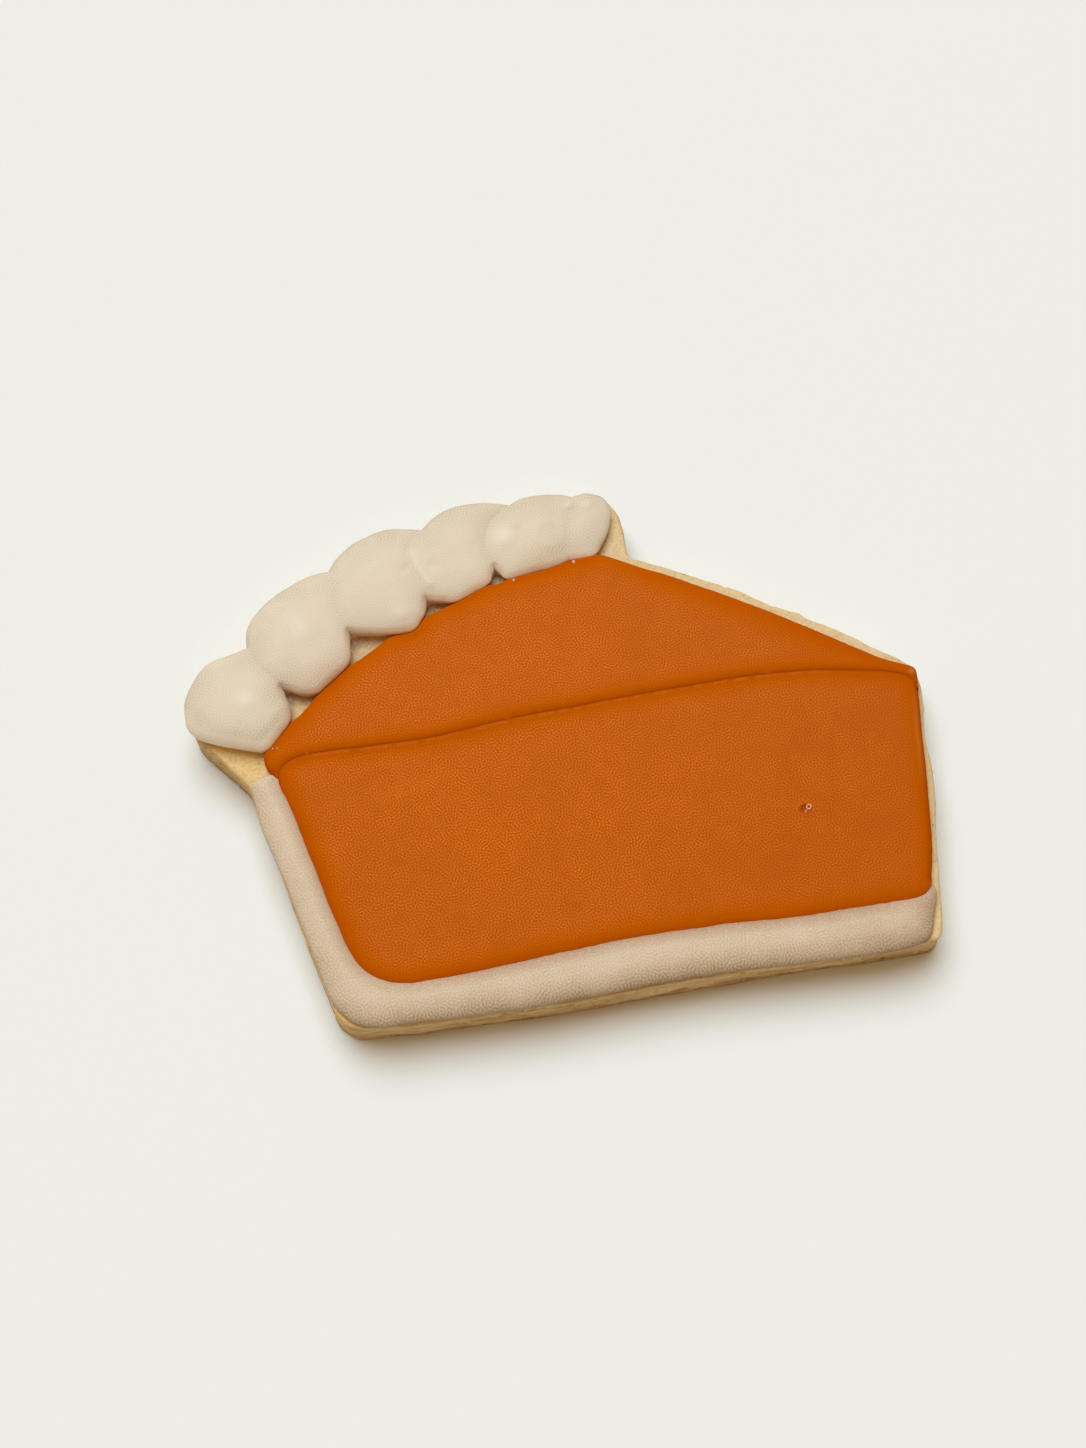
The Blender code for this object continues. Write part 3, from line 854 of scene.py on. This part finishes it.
cream = {
    "face": (0.745, 0.625, 0.462),
    "shade": (0.575, 0.470, 0.330),
    "pale": (0.82, 0.72, 0.57),
    # painted light reflected from the orange panel onto the puffs' feet
    "paintedOrangeBounce": (0.93, 0.66, 0.46),
    # a painted highlight
    "gleam": (0.93, 0.86, 0.74),
    # a painted light for the sides that face the low end
    "low": (0.93, 0.79, 0.60),
    "pore": (0.50, 0.37, 0.22),
    # a painted shade at the foot, beside the panel
    "warm": (0.56, 0.31, 0.14),
}


def creamLook():
    look = Look("creamIcing", cream, {"Specular IOR Level": 0.2})
    patches = look.cloud(5.0, 3.0, 0.5)
    skin = look.times(look.wrinkles(0.42, 1.1), look.ramp("rim", 0.03, 0.2))
    grain = look.cloud(0.22, 3.0, 0.6)
    pore = look.times(look.ramp(look.cells(1.5), 0.075, 0.02), look.ramp(look.cloud(3.0), 0.5, 0.62))
    # painted shade towards the outer rim, fading out 4.3 mm in
    look.colour = look.mix(look.ramp("outer", 0.0, 1.0), "shade", "face")
    look.cover(look.ramp(patches, 0.4, 0.68), "pale", 0.40)
    # painted shade along the seams between the puffs
    look.cover(look.ramp("seam", 0.0, 0.75, 0.42, 0.0), "shade")
    # painted light on the sides that face the low end
    look.cover("low", "low", 0.9)
    # painted reflected light from the orange panel, beside it
    look.cover(look.ramp("panel", 0.0, 0.7, 0.85, 0.0), "paintedOrangeBounce")
    # painted shade towards the panel, in the places listed
    look.cover("warm", "warm", 0.44)
    look.cover(skin, "pale", 0.6)
    # painted highlights
    look.cover("gleam", "gleam")
    look.cover(look.ramp(grain, 0.5, 0.3), "shade", 0.14)
    look.cover(pore, "pore", 0.45)
    look.relief(skin, 0.010)
    look.relief(grain, 0.008)
    look.relief(look.sums("SUBTRACT", 1.0, pore), 0.03)
    return look.finish(look.ramp(patches, 0.3, 0.7, 0.5, 0.6))


def makePuffs():
    look = creamLook()

    def freeAt(points):
        return smooth(nearLines(points, seamLines), 0.0, 1.0)

    for index in range(puffCount):
        number = str(index + 1)
        piece = dict(puffs, name="rimPuffIcing" + number, node="rim_puff_" + number, seed=30 + index)
        icingPad(piece, look, puffEdge(index), puffHeightAt, puffMarks, freeAt)


panels = {
    **icing,
    "spacing": 0.27,
    "rings": (0.03, 0.09, 0.18, 0.32),
    "tuck": 0.12,
    "shoulder": 2.4,
    "freeShoulder": 1.92,
    "headroom": 0.05,  # left under the top of the box for the swells
    "freeLift": 0.34,
    "borderLift": 0.80,
    "puffLift": 0.84,
    "topCreaseLift": 0.78,
    "topCreaseShoulder": 1.1,
    "cutCreaseLift": 0.93,
    "cutCreaseShoulder": 0.5,
    "bubble": (29.52, -13.65),
    # the curl and the drops are raised a little and painted as glints
    "curl": (0.42, 0.3),  # the wet curl and the two drops, from the bubble's middle
    "drops": [(0.05, -0.12), (-0.14, -0.34)],
    "flecks": [(-37.6, 4.75), (-30.95, 10.75), (5.1, 24.65), (-3.2, 23.2), (-37.0, 4.7)],
    "fleckSize": 0.13,
    "slot": "orange_icing",
}
topPiece = dict(panels, name="topPanelIcing", node="top_panel", seed=51)
cutPiece = dict(panels, name="cutPanelIcing", node="cut_panel", seed=52)
topHeight = riseOver("top_panel") - panels["headroom"]
cutHeight = riseOver("cut_panel") - panels["headroom"]


def icingSwell(points):
    return ripples(points, (0.05, 13.0, 41), (0.022, 4.2, 42), (0.007, 1.1, 43))


def creaseLumps(points, crease):
    lump = clamped(ripple(points, 0.55, 44) - 0.25) * smooth(ripple(points, 5.0, 45), -0.2, 0.5)
    return 0.30 * lump * bell(crease, 0.28)


def topHeightAt(points):
    crease = nearLine(points, creaseLine)
    free = nearLines(points, topFree)
    touch = 1 - smooth(nearLines(points, allPuffSides), 0.1, 1.4)
    lift = panels["freeLift"] + (panels["puffLift"] - panels["freeLift"]) * touch
    share = dome(free, panels["freeShoulder"], lift)
    share *= dome(crease + 0.05, panels["topCreaseShoulder"], panels["topCreaseLift"])
    inner = smooth(np.minimum(free, crease), 0.0, 1.5)
    height = share * topHeight + inner * icingSwell(points) + creaseLumps(points, crease)
    # a faint ridge that follows the rim near its middle
    along, across = (points - np.array([-16.7, 18.0])).T
    height += 0.07 * bell(np.hypot(along * 0.45, across - along * 0.28), 0.45)
    for place in panels["flecks"]:
        height += 0.06 * mound(points, place, panels["fleckSize"])
    return height


def topMarks(points):
    crease = nearLine(points, creaseLine)
    free = nearLines(points, topFree)
    flecks = [(place, panels["fleckSize"], 1.0) for place in panels["flecks"]]
    slope = smooth(points[:, 0], 10.0, 18.0)  # the long free side that slopes down to the right
    return {
        "rim": clamped(free / (3.2 + 1.2 * slope)),
        "crease": clamped(crease / 2.8),
        # a painted highlight on the glossy nub
        "gleam": 0.6 * mound(points, (46.8, 2.75), 0.45),
        # painted shadow under the crease and down the long free side
        "shadow": 0.25 * (1 - smooth(crease, 0.05, 0.35)) + 0.25 * slope * (1 - smooth(free, 0.4, 2.0)),
        "fleck": smooth(highest(points, flecks), 0.3, 0.7),
        # the lumps along the crease painted lighter, a painted highlight
        "scuff": clamped(creaseLumps(points, crease) * 9) * 0.6,
        "wet": np.zeros(len(points)),
    }


def bubbleAway(points):
    return np.hypot(*((points - np.array(panels["bubble"])) * np.array([1.0, 1.2])).T)


def bubbleGlint(points):
    # the small wet curl in the bubble and two drops beside it, raised a little and painted as glints
    middle = np.array(panels["bubble"])
    drops = [(middle + np.array(place), 0.15, 1.0) for place in panels["drops"]]
    curl = bell(distanceTo(points, middle + np.array(panels["curl"])) - 0.26, 0.1)
    return np.maximum(curl, highest(points, drops))


def cutHeightAt(points):
    crease = nearLine(points, creaseLine)
    border = nearLine(points, borderSeamLine)
    free = nearLines(points, cutFree)
    share = dome(border + 0.06, panels["shoulder"], panels["borderLift"])
    share *= dome(crease, panels["cutCreaseShoulder"], panels["cutCreaseLift"])
    share *= dome(free, panels["freeShoulder"], panels["freeLift"])
    inner = smooth(np.minimum(np.minimum(free, crease), border), 0.0, 1.5)
    height = share * cutHeight + inner * icingSwell(points) + creaseLumps(points, crease)
    height += 0.05 * bell(free - 0.85, 0.3)
    # a shallow burst bubble
    away = bubbleAway(points)
    height += 0.07 * bell(away - 1.0, 0.22) - 0.24 * np.exp(-((away / 0.75) ** 4))
    return height + 0.14 * bubbleGlint(points)


def cutMarks(points):
    crease = nearLine(points, creaseLine)
    free = nearLines(points, cutFree)
    border = np.minimum(nearLine(points, borderSeamLine), free)
    # a long rubbed place below the crease
    along, across = np.array([[0.989, 0.148], [-0.148, 0.989]]) @ (points - np.array([-21.3, -3.2])).T
    scuff = bell(along, 5.0) * bell(across, 1.1) * (0.55 + 0.6 * ripple(points, 0.9, 47))
    # a painted highlight where the lip catches the light, along a thin broken line
    gleam = 0.22 * bell(crease - 0.3, 0.13) * smooth(ripple(points, 0.9, 48), -0.5, 0.1)
    gleam *= smooth(points[:, 0], -37.0, -34.0) * (1 - smooth(points[:, 0], 30.0, 44.0))
    # and another where the shoulder along the right side catches it
    streak = 0.3 * bell(free - 0.75, 0.3) * mound(points, (46.0, -6.0), 7.0)
    # painted shadow: a thin dark line along the crease and the border
    under = np.maximum(0.85 * (1 - smooth(crease, 0.08, 0.32)), 0.35 * (1 - smooth(border, 0.0, 0.7)))
    return {
        "rim": clamped(border / 3.2),
        "crease": clamped(crease / 2.8),
        "gleam": gleam + streak,
        # painted shadow in the bubble and along the crease and border
        "shadow": np.maximum(1 - smooth(bubbleAway(points), 0.55, 1.0), under),
        # painted glints in the bubble
        "fleck": smooth(bubbleGlint(points), 0.35, 0.9) * 0.85,
        # the rubbed place, and the lumps along the crease painted lighter as a painted highlight
        "scuff": clamped(scuff) * 0.6 + clamped(creaseLumps(points, crease) * 9) * 0.6,
        "wet": 0.12 * (1 - smooth(bubbleAway(points), 0.7, 1.1)),
    }


pumpkin = {
    "face": (0.447, 0.0870, 0.0050),
    # sunny and sunnyDeep are painted light: lit copies of face and deep
    "sunny": (0.545, 0.1120, 0.0160),
    "deep": (0.475, 0.0860, 0.0006),
    "sunnyDeep": (0.550, 0.1060, 0.0006),
    "ridge": (0.840, 0.190, 0.020),
    "ridgeDeep": (0.680, 0.145, 0.0008),
    "shadow": (0.370, 0.0520, 0.0002),
    # the colour of the painted highlights
    "gleam": (0.930, 0.420, 0.110),
    # white flecks of icing, and the painted glints in the bubble
    "fleck": (0.95, 0.66, 0.36),
    "wrinkle": 0.40,  # millimetres from one wrinkle to the next
    "whorl": 1.0,  # millimetres across a patch where wrinkles run side by side
    "wrinkleDepth": 0.022,
    "wrinkleShare": 0.80,
    "roughness": (0.50, 0.62),
}


def pumpkinLook():
    look = Look("pumpkinIcing", pumpkin, {"Specular IOR Level": 0.0, "Coat Roughness": 0.12})
    x, y, _ = look.axes()
    grain = look.cloud(0.22, 2.0, 0.6)
    patches = look.cloud(8.0, 3.0, 0.55)
    blotch = look.cloud(1.8, 3.0, 0.6)
    # plain icing is away from the edges; high icing, towards the rim, is painted warmer and lighter, a
    # painted light
    plain = look.times(look.ramp("rim", 0.35, 1.0), look.ramp("crease", 0.28, 1.0))
    high = look.ramp(y, -14.0, 18.0, 0.0, 0.36)
    face = look.mix(high, "face", "sunny")
    deep = look.mix(high, "deep", "sunnyDeep")
    ridge = look.mix(plain, "ridgeDeep", "ridge")
    # the wrinkles start close to the edges, and fade in patches, to the right and to the low side
    present = look.times(look.ramp("rim", 0.14, 0.5), look.ramp("crease", 0.12, 0.5))
    aside = look.times(look.ramp(x, 0.0, 45.0, 1.0, 0.62), look.ramp(y, -24.0, -10.0, 0.84, 1.0))
    strong = look.times(present, look.times(aside, look.ramp(patches, 0.3, 0.62, 0.75, 1.1)))
    lines = look.wrinkles(pumpkin["wrinkle"], pumpkin["whorl"])
    lines = look.times(lines, look.ramp(grain, 0.30, 0.62, 0.45, 1.1))
    lines = look.times(lines, look.ramp(blotch, 0.32, 0.66, 0.85, 1.12))
    look.colour = look.mix(plain, deep, face)
    look.cover(look.times(lines, look.times(strong, pumpkin["wrinkleShare"])), ridge)
    # the rubbed place, and a painted highlight on the lumps along the crease
    look.cover("scuff", "ridge", 0.35)
    look.cover("shadow", "shadow", 0.75)
    look.cover("gleam", "gleam", 0.5)
    look.cover("fleck", "fleck")
    look.relief(look.times(lines, strong), pumpkin["wrinkleDepth"])
    look.relief(grain, 0.008)
    look.join("wet", look.surface.inputs["Coat Weight"])
    return look.finish(look.ramp(blotch, 0.3, 0.7, *pumpkin["roughness"]))


def makePanels():
    look = pumpkinLook()

    def freeTop(points):
        clearOfPuffs = smooth(nearLines(points, allPuffSides), 0.1, 0.8)
        return smooth(nearLine(points, creaseLine), 0.0, 0.8) * clearOfPuffs

    def freeCut(points):
        return smooth(nearLines(points, [creaseLine, borderSeamLine]), 0.0, 0.8)

    clear = insideLine(np.array(panels["flecks"]), movedIn(topEdge, 0.4))
    flecks = [(place, 0.2, 0.05) for place, inside in zip(panels["flecks"], clear) if inside]
    icingPad(topPiece, look, topEdge, topHeightAt, topMarks, freeTop, flecks)
    icingPad(cutPiece, look, cutEdge, cutHeightAt, cutMarks, freeCut, [(panels["bubble"], 1.3, 0.07)])


crust = {
    **icing,
    "name": "crustBorderIcing",
    "node": "crust_border",
    "slot": "beige_icing",
    "seed": 61,
    "spacing": 0.21,
    "tuck": 0.2,
    "headroom": 0.05,
    "seamShoulder": 2.2,
    "outerShoulder": 3.9,
    "outerLift": 0.2,
    "face": (0.62, 0.478, 0.32),
    "shade": (0.385, 0.245, 0.115),
    "pale": (0.82, 0.68, 0.51),
    "seamShade": (0.43, 0.24, 0.135),
}
borderHeight = riseOver("crust_border") - crust["headroom"]


def borderHeightAt(points):
    seam = nearLine(points, borderSeamLine)
    free = nearLines(points, borderFree)
    # level with the panel where they meet
    share = dome(seam + 0.06, crust["seamShoulder"], panels["borderLift"] * cutHeight / borderHeight)
    share *= dome(free, crust["outerShoulder"], crust["outerLift"])
    uneven = ripples(points, (0.05, 8.0, 62), (0.02, 2.6, 63), (0.008, 0.8, 64))
    return share * borderHeight + smooth(np.minimum(seam, free), 0.0, 1.2) * uneven


def borderMarks(points):
    return {
        "seam": clamped(nearLine(points, borderSeamLine) / 2.0),
        "rim": clamped(nearLines(points, borderFree) / 3.0),
    }


def crustLook():
    look = Look("crustIcing", crust, {"Specular IOR Level": 0.2})
    x, y, _ = look.axes()
    grain = look.cloud(0.26, 3.0, 0.65, 0.5)
    fine = look.cloud(0.12, 2.0, 0.6)
    patches = look.cloud(5.0, 3.0, 0.55)
    lines = look.times(look.wrinkles(0.43, 1.1), look.ramp("rim", 0.0, 0.1))
    # painted shade, darker down its outer slope, most of all along the straight edge
    slope = look.times(look.ramp("rim", 0.0, 1.0, 1.0, 0.0), look.ramp(y, -20.0, -28.0, 0.68, 1.0))
    look.colour = look.mix(slope, "face", "shade")
    look.cover(lines, "pale", 0.55)
    # darker towards the right end, a painted shade, and lighter towards the left end, a painted light
    look.cover(look.ramp(x, 26.0, 44.0, 0.0, 0.32), "shade")
    look.cover(look.ramp(x, -30.0, -38.0, 0.0, 0.3), "pale")
    look.cover(look.ramp(patches, 0.4, 0.7), "pale", 0.3)
    # a painted shade beside the panel, reddish brown, weaker at both ends
    beside = look.ramp("seam", 0.0, 0.9, 0.95, 0.0)
    ends = look.times(look.ramp(x, 34.0, 41.0, 1.0, 0.5), look.ramp(x, -26.0, -14.0, 0.7, 1.0))
    look.cover(look.times(beside, ends), "seamShade")
    look.cover(look.ramp(grain, 0.5, 0.7), "pale", 0.32)
    look.cover(look.ramp(grain, 0.5, 0.3), "shade", 0.13)
    look.relief(grain, 0.013)
    look.relief(lines, 0.011)
    look.relief(fine, 0.012)
    return look.finish(look.ramp(patches, 0.3, 0.7, 0.6, 0.7))


def makeBorder():
    def freeAt(points):
        return smooth(nearLine(points, borderSeamLine), 0.0, 0.8)

    icingPad(crust, crustLook(), borderEdge, borderHeightAt, borderMarks, freeAt)


biscuit = {
    "name": "bakedBiscuit",
    "node": "biscuit",
    "slot": "baked_dough",
    "wallStep": 0.27,
    "edgeStep": 0.24,
    "fineBand": 4.6,  # how far in from the outline the top is finely divided
    "fineNotch": 5.5,  # and how far round the gaps between the puffs
    "fineSpacing": 0.26,
    "sparseShare": 0.03,  # of the points that stay under the icing
    "topRound": 0.6,
    "footRound": 0.5,
    "flare": 0.4,
    "holes": 700,
    "holeSizes": (0.14, 0.42),
    "holeDepth": 0.75,
    "gold": (0.84, 0.56, 0.20),
    "pale": (0.79, 0.60, 0.32),
    "cream": (0.86, 0.74, 0.50),
    "toast": (0.58, 0.380, 0.160),
    "brown": (0.37, 0.200, 0.070),
    "crumb": (0.53, 0.410, 0.265),
    "speck": (0.24, 0.12, 0.04),
    "glaze": (0.80, 0.72, 0.60),
}


def wallRelief(places):
    # places are x, y, z millimetres on the wall
    strata = ripples(places, (0.18, (4.5, 4.5, 0.9), 71), (0.09, (2.0, 2.0, 0.5), 72))
    lumps = ripples(places, (0.16, 7.0, 73), (0.09, 1.9, 74), (0.05, 0.7, 75))
    gap = np.abs(ripple(places, (6.0, 6.0, 1.0), 76))
    crack = (1 - smooth(gap, 0.0, 0.07)) * smooth(ripple(places, 5.0, 77), -0.1, 0.3)
    return strata + lumps - 0.36 * crack - 0.2


def topRelief(places, away):
    grain = ripples(places, (0.05, 3.0, 81), (0.035, 1.1, 82), (0.025, 0.55, 83))
    flakes = 0.12 * ripple(places, 1.5, 84) * (1 - smooth(away, 0.6, 2.2))
    return grain + flakes - 0.07


def wallProfile():
    # from the top down: how far outside the outline, the height, and how much the relief pushes up
    flare, foot, rounding = biscuit["flare"], biscuit["footRound"], biscuit["topRound"]
    profile = []
    for share in (1.0, 0.75, 0.5, 0.25):
        up = math.sin(share * math.pi / 2)
        reach = -rounding * (1 - math.cos(share * math.pi / 2))
        profile.append((reach, biscuitTop - rounding * (1 - up), up))
    for level in np.arange(biscuitTop - rounding, foot, -biscuit["wallStep"]):
        lean = smooth(biscuitTop - rounding - level, 0.0, biscuitTop)
        profile.append((flare * lean, level, 0.0))
    for share in (0.3, 0.65, 1.0):
        angle = share * math.pi / 2
        profile.append((flare - foot * (1 - math.cos(angle)), foot * (1 - math.sin(angle)), 0.0))
    return profile


def crumbHoles(places, shown):
    # how deep small round holes go at each place; their middles are picked from the places shown
    draw = np.random.default_rng(92)
    hollow = np.zeros(len(places))
    for pick in draw.integers(0, len(shown), biscuit["holes"]):
        small = 0.5 if shown[pick, 2] > biscuitTop - 0.3 else 1.0
        radius = draw.uniform(*biscuit["holeSizes"]) * small
        reach = places - shown[pick]
        near = (np.abs(reach[:, :2]) < radius * 1.5).all(1)
        distance = np.sqrt((reach[near] ** 2).sum(1)) / radius
        deep = np.exp(-(distance**2) * 1.6) * radius * biscuit["holeDepth"]
        hollow[near] = np.maximum(hollow[near], deep)
    return hollow


def makeBiscuit():
    outline = roundedLine(outlines["biscuit"], biscuit["edgeStep"])
    count = len(outline)
    outward = outwardOf(outline)
    rim = movedIn(outline, biscuit["topRound"])

    def nearNotch(points):
        return np.min([distanceTo(points, place) for place in innerNotches], axis=0)

    def fineOnly(points):
        shown = nearLine(points, outline, True) < biscuit["fineBand"]
        shown |= nearNotch(points) < biscuit["fineNotch"]
        return shown | (np.random.default_rng(90).random(len(points)) < biscuit["sparseShare"])

    flat, triangles, ring = fillOutline(rim, biscuit["fineSpacing"], (0.15,), 91, chosen=fineOnly)
    away = nearLine(flat, outline, True)
    # rough bare dough in the gaps between the puffs
    bare = bell(nearNotch(flat), 3.2)
    rough = ripples(flat, (0.20, 1.0, 85), (0.10, 0.5, 86)) - 0.05
    vertices = [np.column_stack([flat, biscuitTop + topRelief(flat, away) + bare * rough])]
    flatMap = [flat]
    wall = [np.zeros(len(flat))]
    faces = [triangles]
    total = len(flat)
    down = 0.0
    profile = wallProfile()
    for (lastReach, lastLevel, _), (reach, level, up) in zip(profile, profile[1:]):
        down += math.hypot(reach - lastReach, level - lastLevel)
        base = outline + outward * reach
        side = wallRelief(np.column_stack([base, np.full(count, level)]))
        side *= min(1.0, (biscuitTop - level) / 0.5 + 0.15) * smooth(level, -0.1, 0.5)
        rise = topRelief(base, np.full(count, 0.3)) * up
        vertices.append(np.column_stack([base + outward * side[:, None], level + rise]))
        flatMap.append(rim + outward * down)
        wall.append(np.full(count, 1.0 - up))
        lower = np.arange(total, total + count)
        faces.append(ringFaces(lower, ring))
        ring = lower
        total += count
    vertices[-1][:, 2] = 0.0
    places = np.vstack(vertices)
    bareTop = np.column_stack([flat, np.full(len(flat), biscuitTop)])[away < 4.0]
    hollow = crumbHoles(places, np.vstack([bareTop] + vertices[4:-2]))
    # holes sink down into the top and straight into the wall
    wall = np.concatenate(wall)
    direction = np.column_stack([np.zeros((total, 2)), 1 - wall])
    direction[len(flat) :, :2] = np.tile(outward, (len(profile) - 1, 1)) * wall[len(flat) :, None]
    places -= direction * hollow[:, None]
    places[-count:, 2] = 0.0
    places[:, 2] = np.maximum(places[:, 2], 0.0)
    below = np.zeros(total - len(flat))
    marks = {
        "wall": wall,
        "hollow": clamped(hollow / 0.2),
        "bare": np.concatenate([bare, below]),
        "edge": np.concatenate([clamped(away / 1.5), below]),
    }
    baseFaces = ring[fillUnder(outline)][:, ::-1]
    makePiece(biscuit, biscuitLook(), places, np.vstack(faces), baseFaces, np.vstack(flatMap), marks)


def biscuitLook():
    look = Look("bakedBiscuit", biscuit, {"Specular IOR Level": 0.15})
    x, _, z = look.axes()
    patches = look.cloud(3.2, 4.0, 0.6)
    grain = look.cloud(0.55, 4.0, 0.65, 0.4)
    crumbs = look.cloud(0.22, 3.0, 0.6)
    strata = look.cloud(0.75, 4.0, 0.6, 0.25, look.placeAlong(0.16, 0.16, 1.5))
    streaks = look.wrinkles(0.6, 2.2)
    leftTip = look.ramp(x, -34.0, -39.0)
    look.colour = look.mix(look.ramp(x, -34.0, 4.0), "gold", "pale")
    look.cover(look.ramp(patches, 0.42, 0.66), "toast", 0.25)
    look.cover(look.times(streaks, look.ramp(leftTip, 0.0, 1.0, 0.1, 0.3)), "cream")
    look.cover(look.ramp("edge", 0.4, 0.0, 0.0, 0.25), "toast")
    look.cover(look.ramp(x, 43.0, 46.0, 0.0, 0.38), "toast")
    # the gaps between the puffs: crumb with a smear of icing
    look.cover("bare", "crumb", 0.9)
    look.cover(look.times("bare", look.ramp(grain, 0.50, 0.62)), "glaze", 0.7)
    # the wall: layers of dough, browner at the foot
    layers = look.mix(look.ramp(strata, 0.44, 0.57), "toast", "pale")
    look.cover("wall", layers, 0.85)
    low = look.sums("ADD", z, look.times(look.sums("SUBTRACT", patches, 0.5), 1.6))
    look.cover(look.ramp(low, 2.2, 0.3, 0.0, 0.9), "brown")
    look.cover(look.ramp(grain, 0.52, 0.34), "toast", 0.5)
    look.cover(look.ramp(crumbs, 0.54, 0.72), "cream", 0.32)
    specks = look.times(look.ramp(look.cells(1.1), 0.16, 0.05), look.ramp(look.cloud(1.7), 0.52, 0.6))
    look.cover(specks, "speck", 0.7)
    # the holes painted browner inside, a painted shade
    look.cover("hollow", "brown", 0.5)
    look.relief(grain, 0.12)
    look.relief(crumbs, 0.05)
    look.relief(look.times(streaks, leftTip), 0.03)
    return look.finish(look.ramp(grain, 0.3, 0.7, 0.72, 0.9))


setCamera()
setLight()
makeTable()
print("camera, light and table set")
makeBiscuit()
makePanels()
makeBorder()
makePuffs()
print("all pieces made")
